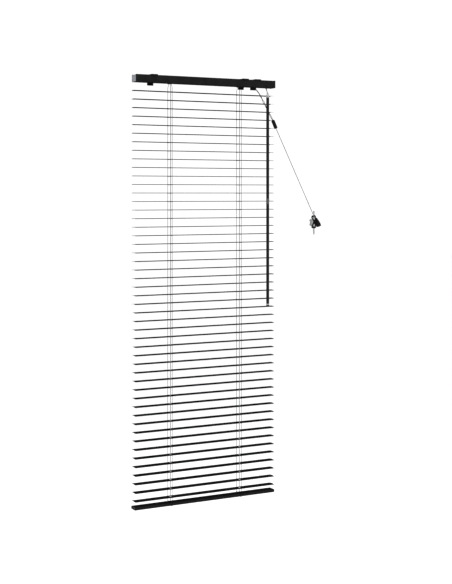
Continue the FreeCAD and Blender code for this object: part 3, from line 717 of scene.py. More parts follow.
@dataclass(frozen=True)
class Braid:
    """A round cord whose braid stands out of its surface as small diamonds."""

    radius: float
    carriers: int = 3
    pitch: float = 1.7 * MM
    relief: float = 0.1
    sides: int = 12
    gap: float = 0.3 * MM

    def tube(self, name: str, line: Line) -> tuple[bpy.types.Object, np.ndarray]:
        """Makes the cord along a line.

        Args:
            name: The piece's name.
            line: Its centreline.

        Returns:
            The piece and its rings' middles.
        """
        middles = line.spaced(self.gap)
        along = np.gradient(middles, axis=0)
        along /= np.linalg.norm(along, axis=1)[:, None]
        side = np.cross(along[0], (0.0, 1.0, 0.0) if abs(along[0][1]) < 0.9 else (1.0, 0.0, 0.0))
        across = np.empty_like(along)
        for k, way in enumerate(along):
            side = side - way * side.dot(way)
            side /= np.linalg.norm(side)
            across[k] = side
        other = np.cross(along, across)
        around = np.arange(self.sides) * 2 * math.pi / self.sides
        lengths = np.arange(len(middles)) * np.linalg.norm(middles[1] - middles[0])
        lead = 2 * math.pi * lengths[:, None] / self.pitch
        weave = np.cos(self.carriers * around + lead) * np.cos(self.carriers * around - lead)
        radii = self.radius * (1 - self.relief * (0.5 - 0.5 * weave))
        ring = across[:, None] * np.cos(around)[:, None] + other[:, None] * np.sin(around)[:, None]
        places = (middles[:, None] + ring * radii[..., None]).reshape(-1, 3)
        return self._skin(name, places, len(middles), lengths), middles

    def _skin(self, name: str, places: np.ndarray, rings: int, lengths: np.ndarray) -> bpy.types.Object:
        """Joins the rings into a closed tube with a map that follows it.

        Args:
            name: The piece's name.
            places: The rings' points in order.
            rings: How many rings there are.
            lengths: Each ring's distance along the cord.

        Returns:
            The piece.
        """
        n = self.sides
        faces = [(r * n + k, r * n + (k + 1) % n, (r + 1) * n + (k + 1) % n, (r + 1) * n + k)
                 for r in range(rings - 1) for k in range(n)]
        faces += [tuple(range(n - 1, -1, -1)), tuple((rings - 1) * n + k for k in range(n))]
        mesh = bpy.data.meshes.new(name)
        mesh.from_pydata(places.tolist(), [], faces)
        mapped = mesh.uv_layers.new(name="along")
        corners = np.empty(len(mesh.loops), np.int32)
        mesh.loops.foreach_get("vertex_index", corners)
        u = (corners % n) / n
        quads = (rings - 1) * n * 4
        first = (np.arange(quads) // 4) % n == n - 1
        u[:quads] = np.where(first & (u[:quads] == 0), 1.0, u[:quads])
        mapped.data.foreach_set("uv", np.stack([u, lengths[corners // n]], axis=1).ravel())
        piece = bpy.data.objects.new(name, mesh)
        bpy.context.scene.collection.objects.link(piece)
        return piece


LIFT_BRAID = Braid(0.65 * MM)
HELD_BRAID = Braid(0.6 * MM, sides=8, gap=0.42 * MM, carriers=2, relief=0.08)
STRING_BRAID = Braid(0.5 * MM, sides=8, gap=0.5 * MM, carriers=2, pitch=2.0 * MM, relief=0.12)
RUNG_BRAID = Braid(0.2 * MM, sides=6, gap=6.5 * MM, relief=0.0)
WIRE = Braid(0.5 * MM, sides=16, gap=0.4 * MM, relief=0.0)


# ---------------------------------------------------------------- headrail
@dataclass
class Headrail:
    """Roll-formed channel with its end caps, drum cradles, tilter housing and cord lock."""

    wall: float = 0.6 * MM
    lip: float = 2.5 * MM
    lip_down: float = 2.0 * MM
    corner: float = 1.0 * MM
    gap: float = 0.3 * MM
    cap_plate: float = 1.2 * MM
    cap_skirt: float = 7.0 * MM
    cap_step: tuple[float, float] = (1.2 * MM, -0.6 * MM)
    cap_rim: float = 1.3 * MM
    cap_sink: float = 0.35 * MM
    cap_fit: float = 1.1
    collar: tuple[float, float] = (9.0 * MM, 18.0 * MM)
    mouth: tuple[float, float, float] = (6.4 * MM, -27.1 * MM, -21.5 * MM)
    nose: tuple[float, float] = (10.97 * MM, 2.7 * MM)
    roller: Place = (4.5 * MM, 3.7 * MM, 13.4 * MM)
    housing: Place = (1.5 * MM, 3.7 * MM, 8.0 * MM)

    def build(self) -> None:
        """Builds every piece of the headrail."""
        self.channel()
        self.end_caps()
        self.fittings()

    def channel(self) -> None:
        """Models the channel from a block: opened, its lips turned in, rounded and thickened."""
        rail = Bench.block("headrail_channel", RAIL_LOW, RAIL_HIGH)
        Bench.select(rail, Pick.FACE, lambda middle, normal: normal.z > 0.5 or abs(normal.x) > 0.5)
        bpy.ops.mesh.delete(type="FACE")
        for edge, inward in ((RAIL_LOW.y, 1), (RAIL_HIGH.y, -1)):
            Bench.select(rail, Pick.EDGE, lambda a, b: all(
                abs(p.y - edge) < self.gap and abs(p.z - RAIL_HIGH.z) < self.gap for p in (a, b)))
            bpy.ops.mesh.extrude_edges_move(
                TRANSFORM_OT_translate={"value": (0, inward * (self.lip - self.wall / 2), 0)})
            bpy.ops.mesh.extrude_edges_move(
                TRANSFORM_OT_translate={"value": (0, 0, -self.lip_down)})
        bpy.ops.mesh.select_all(action="SELECT")
        bpy.ops.mesh.normals_make_consistent(inside=False)
        Bench.round_edges(rail, self.corner, 5, lambda a, b: all(
            min(abs(p.y - RAIL_LOW.y), abs(p.y - RAIL_HIGH.y)) < self.gap
            and min(abs(p.z - RAIL_LOW.z), abs(p.z - RAIL_HIGH.z)) < self.gap for p in (a, b)))
        Bench.modify(rail, "SOLIDIFY", thickness=self.wall, offset=-1, use_even_offset=True)
        Bench.combine(rail, self.floor_holes(), "DIFFERENCE")
        dress(rail, RAIL_ENAMEL, Slot.RAIL, "headrail", "headrail")

    def floor_holes(self) -> list[bpy.types.Object]:
        """Makes the tools that cut the channel's floor.

        Returns:
            One tool for each ladder collar, the lock's mouth and the tilter's nose.
        """
        low, high = RAIL_LOW.z - self.corner, RAIL_LOW.z + 2 * self.wall
        wide, deep = self.collar[0] / 2 + self.gap, self.collar[1] / 2 + self.gap
        tools = [Bench.block("collar_hole", (x - wide, MIDDLE - deep, low), (x + wide, MIDDLE + deep, high))
                 for x in LADDERS]
        width, front, back = self.mouth
        tools.append(Bench.block("mouth_hole", (LOCK_MOUTH.x - width / 2 - self.gap, front - self.gap, low),
                                 (LOCK_MOUTH.x + width / 2 + self.gap, back + self.gap, high)))
        stem = (WAND - joint_place("worm_turn")).normalized()
        middle = joint_place("worm_turn") + stem * self.nose[0]
        tools.append(Bench.bar("nose_hole", middle - stem * self.nose[0] * 0.6,
                               middle + stem * self.nose[0], self.nose[1]))
        return tools

    def end_caps(self) -> None:
        """Models the two caps: a plate with a raised rim and a cup that plugs into the channel."""
        for name, side, finish, slot, step in (
            ("left", -1, GREY_PLASTIC, Slot.GREY, self.cap_step[0]),
            ("right", 1, BLACK_PLASTIC, Slot.BLACK, self.cap_step[1]),
        ):
            inner = RAIL_LOW.x if side < 0 else RAIL_HIGH.x
            outer, deep = inner + side * self.cap_plate, inner - side * self.cap_skirt
            plate = Bench.block(
                "plate", (min(inner, outer), RAIL_LOW.y + step, RAIL_LOW.z + step / 2),
                (max(inner, outer), RAIL_HIGH.y - step, RAIL_HIGH.z - step))
            Bench.round_edges(plate, self.corner, 5, lambda a, b: abs(a.x - b.x) > self.gap)
            Bench.select(plate, Pick.FACE, lambda middle, normal: normal.x * side > 0.9)
            bpy.ops.mesh.inset(thickness=self.cap_rim, depth=0)
            bpy.ops.mesh.extrude_region_move(
                TRANSFORM_OT_translate={"value": (-side * self.cap_sink, 0, 0)})
            inside, under_lip = self.wall * self.cap_fit, self.lip_down * self.cap_fit
            low = Vector((min(inner, deep), RAIL_LOW.y + inside, RAIL_LOW.z + inside))
            high = Vector((max(inner, deep), RAIL_HIGH.y - inside, RAIL_HIGH.z - under_lip))
            cup = Bench.block("cup", low, high)
            Bench.select(cup, Pick.FACE, lambda middle, normal: normal.z > 0.9)
            bpy.ops.mesh.inset(thickness=self.cap_plate, depth=0)
            bpy.ops.mesh.extrude_region_move(
                TRANSFORM_OT_translate={"value": (0, 0, low.z - high.z + self.cap_plate)})
            cap = Bench.join("end_cap_" + name, [plate, cup])
            Bench.soften(cap, 0.2 * MM)
            dress(cap, finish, slot, "headrail", "headrail_fittings")

    def fittings(self) -> None:
        """Takes the drum cradles, tilter housing and cord lock from the frame and finishes them."""
        solids = Bench.parts_of("headrail_fittings")
        roller = LOCK_MOUTH + Vector(self.roller)
        housing = LOCK_MOUTH + Vector(self.housing)
        for side, x in zip(SIDES, LADDERS):
            cradle = Bench.nearest(solids, (x, MIDDLE, RAIL_LOW.z / 3))
            cradle.name = "drum_cradle_" + side
            Bench.soften(cradle, 0.12 * MM)
            dress(cradle, BLACK_PLASTIC, Slot.BLACK, "headrail", "headrail_fittings")
        for name, place, finish, slot, edge in (
            ("tilter_housing", (WAND.x, MIDDLE, 0), BLACK_PLASTIC, Slot.BLACK, 0.12 * MM),
            ("lock_roller", roller, ZINC, Slot.STEEL, 0),
            ("lock_pin", roller, ZINC, Slot.STEEL, 0),
            ("lock_housing", housing, BLACK_PLASTIC, Slot.BLACK, 0.1 * MM),
        ):
            part = Bench.nearest(solids, place)
            part.name = name
            if edge:
                Bench.soften(part, edge)
            dress(part, finish, slot, "headrail", "headrail_fittings")
        for spare in solids:
            bpy.data.objects.remove(spare)


@dataclass
class Brackets:
    """Three pressed-steel clip brackets, each with two stiffening ribs."""

    places: tuple[float, ...] = (-150.0 * MM, 113.0 * MM, 150.0 * MM)
    edge: float = 0.25 * MM
    rib: tuple[float, float, float] = (2.0 * MM, 15.0 * MM, 0.25 * MM)
    rib_off: float = 5.4 * MM

    def build(self) -> None:
        """Finishes each bracket's sheet and presses its ribs."""
        solids = Bench.parts_of("mounting_brackets")
        low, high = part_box("mounting_brackets")
        for number, x in enumerate(self.places, 1):
            plate = Bench.nearest(solids, (x, (low.y + high.y) / 2, (low.z + high.z) / 2))
            Bench.soften(plate, self.edge)
            ribs = [self.pressed(x + s * self.rib_off, high.z) for s in (-1, 1)]
            Bench.combine(plate, ribs, "UNION")
            plate.name = f"bracket_{number}"
            dress(plate, BRACKET_ENAMEL, Slot.BRACKET, "headrail", "mounting_brackets")

    def pressed(self, x: float, top: float) -> bpy.types.Object:
        """Makes one rounded rib along the top plate.

        Args:
            x: The rib's middle.
            top: The plate's upper face.

        Returns:
            The rib.
        """
        wide, long, rise = self.rib
        rib = Bench.block("rib", (x - wide / 2, MIDDLE - long / 2, top - rise),
                          (x + wide / 2, MIDDLE + long / 2, top + rise))
        Bench.round_edges(rib, wide * 0.45, 4, lambda a, b: abs(a.z - b.z) > self.edge)
        Bench.round_edges(rib, rise * 0.7, 3, lambda a, b: min(a.z, b.z) > top)
        return rib


# ---------------------------------------------------------------- tilt mechanism
@dataclass
class TiltGear:
    """Hexagonal rod, ladder drums, worm wheel and worm."""

    drum_back: float = 3.0 * MM
    rod: float = 40.0 * MM

    def build(self) -> None:
        """Takes the gear from the frame and finishes it."""
        solids = Bench.parts_of("tilt_shaft")
        drums = [(f"ladder_drum_{side}", (x - self.drum_back, MIDDLE, 0), PALE_PLASTIC, Slot.GREY)
                 for side, x in zip(SIDES, LADDERS)]
        for name, place, finish, slot in drums + [
            ("worm_wheel", (WAND.x, MIDDLE, 0), PALE_PLASTIC, Slot.GREY),
            ("tilt_rod", (self.rod, MIDDLE, 0), ZINC, Slot.STEEL),
        ]:
            part = Bench.nearest(solids, place)
            part.name = name
            if name != "tilt_rod":
                Bench.soften(part, 0.08 * MM, 1)
            dress(part, finish, slot, "tilt_shaft", "tilt_shaft")
        worm = Bench.parts_of("tilt_worm")[0]
        worm.name = "worm_and_stem"
        dress(worm, CLEAR_PLASTIC, Slot.CLEAR, "tilt_worm", "tilt_worm")


@dataclass
class Wand:
    """Wand of two hexagonal tubes, hung from the worm's eye by a wire hook in a clear sleeve."""

    flats: float = 7.4 * MM
    bore: float = 2.5 * MM
    sleeve_top: float = 3.6 * MM
    sleeve: float = 7.1 * MM
    upper: float = 265.2 * MM
    coupling: float = 15.8 * MM
    lower: float = 262.3 * MM
    round_r: float = 4.0 * MM
    spigot: float = 8.0 * MM
    hook_r: float = 2.7 * MM
    ring: float = 3.4 * MM
    plug: float = 6.8 * MM

    def at(self, drop: float) -> Vector:
        """Gives the point on the wand's axis this far below the eye."""
        return WAND - Vector((0, 0, drop))

    def build(self) -> None:
        """Builds the wand from top to bottom."""
        top = self.sleeve_top + self.sleeve
        joint = top + self.upper
        foot = joint + self.coupling
        end = foot + self.lower
        self.hook()
        self.turned_part("wand_sleeve", self.sleeve_top, self.sleeve, CLEAR_PLASTIC, Slot.CLEAR, below=True)
        self.tube("wand_upper_tube", top, self.upper)
        self.turned_part("wand_coupling", joint, self.coupling, SMOKED_PLASTIC, Slot.CLEAR,
                         above=True, below=True)
        self.tube("wand_lower_tube", foot, self.lower)
        self.end(end)

    def end(self, drop: float) -> None:
        """Turns the clear ring and the black knob at the wand's end.

        Args:
            drop: How far the lower tube's end is below the eye.
        """
        r, thin = self.flats / 2, self.bore * 0.97
        ring = Bench.turned("wand_end_ring", [
            (thin, -self.spigot), (thin, 0), (r * 0.94, 0), (r, 0.3 * MM), (r, self.ring - 0.3 * MM),
            (r * 0.94, self.ring), (thin, self.ring)], self.at(drop), Vector((0, 0, -1)))
        dress(ring, CLEAR_PLASTIC, Slot.CLEAR, "tilt_wand", "tilt_wand")
        knob = Bench.turned("wand_end_plug", [
            (r * 0.95, self.ring + 0.05 * MM), (r, self.ring + 0.4 * MM), (r, self.plug - 1.4 * MM),
            (r * 0.9, self.plug - 0.5 * MM), (r * 0.66, self.plug), (r * 0.2, self.plug)],
            self.at(drop), Vector((0, 0, -1)))
        dress(knob, GLOSS_BLACK, Slot.BLACK, "tilt_wand", "tilt_wand")

    def hook(self) -> None:
        """Bends the wire hook: up from the sleeve, through the eye and down again."""
        r, leg = self.hook_r, self.sleeve_top + self.sleeve * 0.55
        route = [self.at(0) + Vector((x, 0, -z)) for x, z in (
            (-r, leg), (-r, leg * 0.7), (-r, r), (-r, 0.2 * r), (-0.55 * r, -0.15 * r), (0, -0.2 * r),
            (0.55 * r, -0.15 * r), (r, 0.2 * r), (r, r), (r, leg * 0.7), (r, leg))]
        wire, _ = WIRE.tube("wand_hook", Line(route))
        dress(wire, ZINC, Slot.STEEL, "tilt_wand", "tilt_wand")

    def tube(self, name: str, top: float, length: float) -> None:
        """Models one hexagonal tube.

        Args:
            name: The piece's name.
            top: How far its top is below the eye.
            length: Its length.
        """
        corner_r = self.flats / math.sqrt(3)
        bar = Bench.bar(name, self.at(top), self.at(top + length), corner_r, sides=6, turn=math.pi / 6)
        Bench.round_edges(bar, 0.7 * MM, 4, lambda a, b: abs(a.z - b.z) > length / 2)
        bore = Bench.bar("bore", self.at(top - self.ring), self.at(top + length + self.ring), self.bore)
        Bench.combine(bar, [bore], "DIFFERENCE")
        dress(bar, GLOSS_BLACK, Slot.BLACK, "tilt_wand", "tilt_wand")

    def turned_part(
        self, name: str, top: float, length: float, finish: Finish, slot: Slot,
        above: bool = False, below: bool = False,
    ) -> None:
        """Turns a round fitting with spigots that go into the tubes.

        Args:
            name: The piece's name.
            top: How far its shoulder is below the eye.
            length: Its length between shoulders.
            finish: Its finish.
            slot: Its slot.
            above: Whether it has a spigot upwards.
            below: Whether it has a spigot downwards.
        """
        r, thin, edge = self.round_r, self.bore * 0.97, 0.6 * MM
        outline = [(thin, -self.spigot), (thin, 0)] if above else []
        outline += [(r - edge, 0), (r - edge * 0.3, edge * 0.3), (r, edge), (r, length - edge),
                    (r - edge * 0.3, length - edge * 0.3), (r - edge, length)]
        outline += [(thin, length), (thin, length + self.spigot)] if below else []
        part = Bench.turned(name, outline, self.at(top), Vector((0, 0, -1)))
        dress(part, finish, slot, "tilt_wand", "tilt_wand")


# ---------------------------------------------------------------- slats
@dataclass
class Slats:
    """The stack of crowned aluminium slats, each with rounded corners and two route slots."""

    thickness: float = 0.22 * MM
    rise: float = 1.1 * MM
    corner: float = 3.0 * MM
    slot: tuple[float, float] = (3.2 * MM, 9.0 * MM)
    strips: int = 14

    def build(self) -> None:
        """Models one slat and copies it down the ladders."""
        pattern = self.strip()
        for number, place in enumerate(SLATS, 1):
            node = f"slat_{number:02d}"
            copy = Bench.copy(pattern, node + "_strip", place - SLATS[0])
            dress(copy, SLAT_ENAMEL, Slot.SLAT, node, node, angle=30)
        bpy.data.objects.remove(pattern)

    def strip(self) -> bpy.types.Object:
        """Models the first slat: blanked flat, its slots punched, then crowned.

        Returns:
            The slat.
        """
        edge = SLATS[0].z
        low = Vector((SLAT_LOW.x, SLAT_LOW.y, edge - self.thickness / 2))
        high = Vector((SLAT_HIGH.x, SLAT_HIGH.y, edge + self.thickness / 2))
        strip = Bench.block("slat_pattern", low, high)
        Bench.round_edges(strip, self.corner, 6, lambda a, b: abs(a.z - b.z) > self.thickness / 2)
        wide = high.y - low.y
        Bench.slices(strip, 1, [low.y + wide * k / self.strips for k in range(1, self.strips)])
        Bench.slices(strip, 0, [x + s * 6 * MM for x in LADDERS for s in (-1, 1)])
        Bench.combine(strip, [self.punch(x, edge) for x in LADDERS], "DIFFERENCE")
        for point in strip.data.vertices:
            off = (point.co.y - MIDDLE) / (wide / 2)
            point.co.z += self.rise * (1 - off * off)
        return strip

    def punch(self, x: float, z: float) -> bpy.types.Object:
        """Makes the tool for one route slot.

        Args:
            x: The slot's middle.
            z: The slat's height.

        Returns:
            The tool.
        """
        wide, long = self.slot
        tool = Bench.block("punch", (x - wide / 2, MIDDLE - long / 2, z - wide),
                           (x + wide / 2, MIDDLE + long / 2, z + wide))
        Bench.round_edges(tool, wide * 0.499, 6, lambda a, b: abs(a.z - b.z) > wide)
        return tool


# ---------------------------------------------------------------- ladders
@dataclass
class Ladders:
    """String ladders: strings, and rungs that turn with the slats."""

    offset: float = -1.2 * MM
    drum_r: float = 7.0 * MM
    groove_r: float = 6.5 * MM
    gate: float = -8.6 * MM
    flare: float = 9.5 * MM
    flare_top: float = 1.2 * MM
    rung_drop: float = 0.42 * MM
    rung_gap: float = 0.22 * MM
    knot: tuple[float, float] = (0.66 * MM, 1.6 * MM)
    half_foot: float = 3.75 * MM
    loop_gap: float = 0.1 * MM

    def build(self) -> None:
        """Builds both ladders."""
        for side, x in zip(SIDES, LADDERS):
            self.strings(side, x + self.offset)
            self.wraps(side, x + self.offset)
            self.foot_loops(side, x + self.offset)
        self.rungs()

    def strings(self, side: str, x: float) -> None:
        """Makes a ladder's front and back strings.

        Args:
            side: left or right.
            x: The strings' place.
        """
        low = RAIL_LOW.z - self.flare_top
        tubes = []
        for way in (-1, 1):
            drum, wide = MIDDLE + way * self.drum_r, MIDDLE + way * STRING_REACH
            route = [Vector(p) for p in (
                (x, drum, self.gate), (x, drum, low), (x, wide, low - self.flare),
                (x, wide, low - 2 * self.flare), (x, wide, FOOT_HIGH.z + self.flare),
                (x, wide, FOOT.z + self.rung_drop))]
            tubes.append(STRING_BRAID.tube("string", Line(route))[0])
        strings = Bench.join(f"ladder_strings_{side}", tubes)
        dress(strings, BLACK_YARN, Slot.CORD, "headrail", "ladder_and_lift_cords", angle=80)
        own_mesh(strings)

    def wraps(self, side: str, x: float) -> None:
        """Makes the string's turn in the drum's groove and its two falls to the collar.

        Args:
            side: left or right.
            x: The string's place.
        """
        falls = []
        for way in (-1, 1):
            y = MIDDLE + way * self.drum_r
            route = [Vector((x, y, z)) for z in (0.0, self.gate / 3, self.gate - self.flare_top / 3)]
            falls.append(STRING_BRAID.tube("fall", Line(route))[0])
        dress(Bench.join(f"string_falls_{side}", falls), BLACK_YARN, Slot.CORD, "headrail", angle=80)
        Bench.clear()
        bpy.ops.mesh.primitive_torus_add(
            major_radius=self.groove_r, minor_radius=STRING_BRAID.radius,
            major_segments=48, minor_segments=8, location=(x, MIDDLE, 0),
            rotation=(0, math.pi / 2, 0))
        dress(Bench.take(f"drum_turn_{side}"), BLACK_YARN, Slot.CORD, "tilt_shaft")

    def foot_loops(self, side: str, x: float) -> None:
        """Makes the loop that holds the bottom rail: round its edges to the button, and over its top.

        Args:
            side: left or right.
            x: The loop's place.
        """
        r = STRING_BRAID.radius
        under = FOOT.z - self.half_foot - r - self.loop_gap
        over = FOOT.z + self.half_foot + r
        reach = STRING_REACH
        tubes = []
        for way in (-1, 1):
            route = [Vector((x, MIDDLE + way * y, z)) for y, z in (
                (reach, over - 1.2 * MM), (reach, FOOT.z), (reach, under + 0.8 * MM),
                (reach - 0.2 * MM, under), (reach - 1.6 * MM, under), (8 * MM, under), (4.7 * MM, under))]
            tubes.append(STRING_BRAID.tube("loop", Line(route))[0])
        top = [Vector((x, MIDDLE + y, z)) for y, z in (
            (-reach, over - 2.6 * MM), (-reach, over - 1.0 * MM), (-reach + 1.6 * MM, over), (-6 * MM, over),
            (6 * MM, over), (reach - 1.6 * MM, over), (reach, over - 1.0 * MM), (reach, over - 2.6 * MM))]
        tubes.append(STRING_BRAID.tube("loop", Line(top))[0])
        dress(Bench.join(f"foot_loop_{side}", tubes), BLACK_YARN, Slot.CORD, "bottom_rail", angle=80)

    def rungs(self) -> None:
        """Makes each slat's two pairs of rungs, with a knot where each meets a string."""
        radius, height = self.knot
        first = SLATS[0].z - self.rung_drop
        tubes = []
        for x in (ladder + self.offset for ladder in LADDERS):
            for shift in (-self.rung_gap, self.rung_gap):
                ends = [Vector((x + shift, MIDDLE + way * STRING_REACH, first)) for way in (-1, 0, 1)]
                tubes.append(RUNG_BRAID.tube("rung", Line(ends))[0])
            for way in (-1, 1):
                top = Vector((x, MIDDLE + way * STRING_REACH, first + height / 2))
                outline = [(radius * 0.5, 0), (radius, height * 0.3), (radius, height * 0.7),
                           (radius * 0.5, height)]
                tubes.append(Bench.turned("knot", outline, top, Vector((0, 0, -1)), sides=8))
        pattern = Bench.join("rung_pattern", tubes)
        for number, place in enumerate(SLATS, 1):
            copy = Bench.copy(pattern, f"rungs_{number:02d}", place - SLATS[0])
            dress(copy, BLACK_YARN, Slot.CORD, f"slat_{number:02d}", angle=60)
        bpy.data.objects.remove(pattern)


@dataclass
class LiftCords:
    """The two lift cords inside the blind, from the bottom rail through the slats to the lock."""

    foot: float = FOOT.z - 2.9 * MM
    foot_offset: float = -0.1 * MM
    right: tuple[Place, ...] = (
        (100.9, -15.5, -18.0), (100.9, -15.5, -10.0), (100.9, -15.5, -4.5), (105.3, -18.0, -4.5),
        (113.9, -22.7, -4.5), (118.3, -25.2, -4.5), (123.0, -25.2, -4.5), (139.0, -25.2, -4.5),
        (144.5, -25.2, -4.5), (144.5, -25.2, -7.5), (144.5, -25.2, -11.0))
    left: tuple[Place, ...] = (
        (-99.7, -15.5, -18.0), (-99.7, -15.5, -10.0), (-99.7, -15.5, -4.5), (-95.0, -12.9, -4.5),
        (-88.6, -9.2, -4.5), (-84.3, -6.6, -4.5), (-78.0, -6.6, -4.5), (103.0, -6.6, -4.5),
        (109.3, -6.6, -4.5), (113.3, -9.8, -4.5), (126.5, -20.2, -4.5), (130.5, -23.4, -4.5),
        (134.5, -23.4, -4.5), (140.0, -23.4, -4.5), (144.5, -23.4, -4.5), (144.5, -23.4, -7.5),
        (144.5, -23.4, -11.0))

    def build(self) -> None:
        """Builds both cords."""
        for side, ladder, route in zip(SIDES, LADDERS, (self.left, self.right)):
            points = millimetres(route)
            start = Vector((ladder + self.foot_offset, MIDDLE, self.foot))
            cord, _ = HELD_BRAID.tube(f"lift_cord_{side}", Line([start] + points))
            dress(cord, BLACK_YARN, Slot.CORD, "headrail", "ladder_and_lift_cords", angle=80)


# ---------------------------------------------------------------- bottom rail
@dataclass
class BottomRail:
    """Rolled tube with an end cap at each end and a cord button under each ladder."""

    corner: float = 2.4 * MM
    wall: float = 0.5 * MM
    cap: float = 1.2 * MM
    cap_rim: float = 0.9 * MM
    height: float = 7.5 * MM
    button_r: float = 4.4 * MM
    button_drop: float = 1.5 * MM
    lift_offset: float = -0.1 * MM
    drill_r: float = 0.9 * MM

    def build(self) -> None:
        """Builds the tube, its caps and its buttons."""
        low = Vector((FOOT_LOW.x, FOOT_LOW.y, FOOT.z - self.height / 2))
        high = Vector((FOOT_HIGH.x, FOOT_HIGH.y, FOOT.z + self.height / 2))
        inset = Vector((self.cap, 0, 0))
        tube = self.section("bottom_rail_tube", low + inset, high - inset)
        Bench.select(tube, Pick.FACE, lambda middle, normal: abs(normal.x) > 0.9)
        bpy.ops.mesh.delete(type="FACE")
        Bench.modify(tube, "SOLIDIFY", thickness=self.wall, offset=-1, use_even_offset=True)
        Bench.combine(tube, self.drills(high.z), "DIFFERENCE")
        dress(tube, RAIL_ENAMEL, Slot.RAIL, "bottom_rail", "bottom_rail")
        for side, x, inner in (("left", low.x, low.x + self.cap), ("right", high.x, high.x - self.cap)):
            cap = self.section("foot_cap_" + side, (min(x, inner), low.y, low.z),
                               (max(x, inner), high.y, high.z))
            Bench.select(cap, Pick.FACE,
                         lambda middle, normal: normal.x * (x - inner) > 0.9 * abs(x - inner))
            bpy.ops.mesh.inset(thickness=self.cap_rim, depth=0)
            bpy.ops.mesh.extrude_region_move(TRANSFORM_OT_translate={"value": ((inner - x) * 0.3, 0, 0)})
            Bench.soften(cap, 0.2 * MM)
            dress(cap, BLACK_PLASTIC, Slot.BLACK, "bottom_rail", "bottom_rail")
        for side, x in zip(SIDES, LADDERS):
            self.button(side, Vector((x, MIDDLE, low.z)))

    def section(self, name: str, low: Place, high: Place) -> bpy.types.Object:
        """Makes a length of the rail's rounded section.

        Args:
            name: The piece's name.
            low: Its lowest corner.
            high: Its highest corner.

        Returns:
            The piece.
        """
        bar = Bench.block(name, low, high)
        Bench.round_edges(bar, self.corner, 6,
                          lambda a, b: abs(a.y - b.y) + abs(a.z - b.z) < self.wall * 0.01)
        return bar

    def drills(self, top: float) -> list[bpy.types.Object]:
        """Makes the tools for the holes that the lift cords go in by.

        Args:
            top: The rail's upper face.

        Returns:
            One tool for each ladder.
        """
        places = [x + self.lift_offset for x in LADDERS]
        return [Bench.bar("drill", Vector((x, MIDDLE, top - self.wall * 3)),
                          Vector((x, MIDDLE, top + self.wall)), self.drill_r) for x in places]

    def button(self, side: str, at: Vector) -> None:
        """Turns a cord button with a dished face.

        Args:
            side: left or right.
            at: The middle of its seat under the rail.
        """
        r, drop = self.button_r, self.button_drop
        button = Bench.turned(f"cord_button_{side}", [
            (r * 0.55, -self.wall), (r * 0.55, 0), (r, 0), (r, drop * 0.5), (r * 0.96, drop * 0.75),
            (r * 0.86, drop * 0.95), (r * 0.7, drop), (r * 0.55, drop * 0.8), (r * 0.3, drop * 0.7)],
            at, Vector((0, 0, -1)))
        dress(button, BLACK_PLASTIC, Slot.BLACK, "bottom_rail", "bottom_rail")


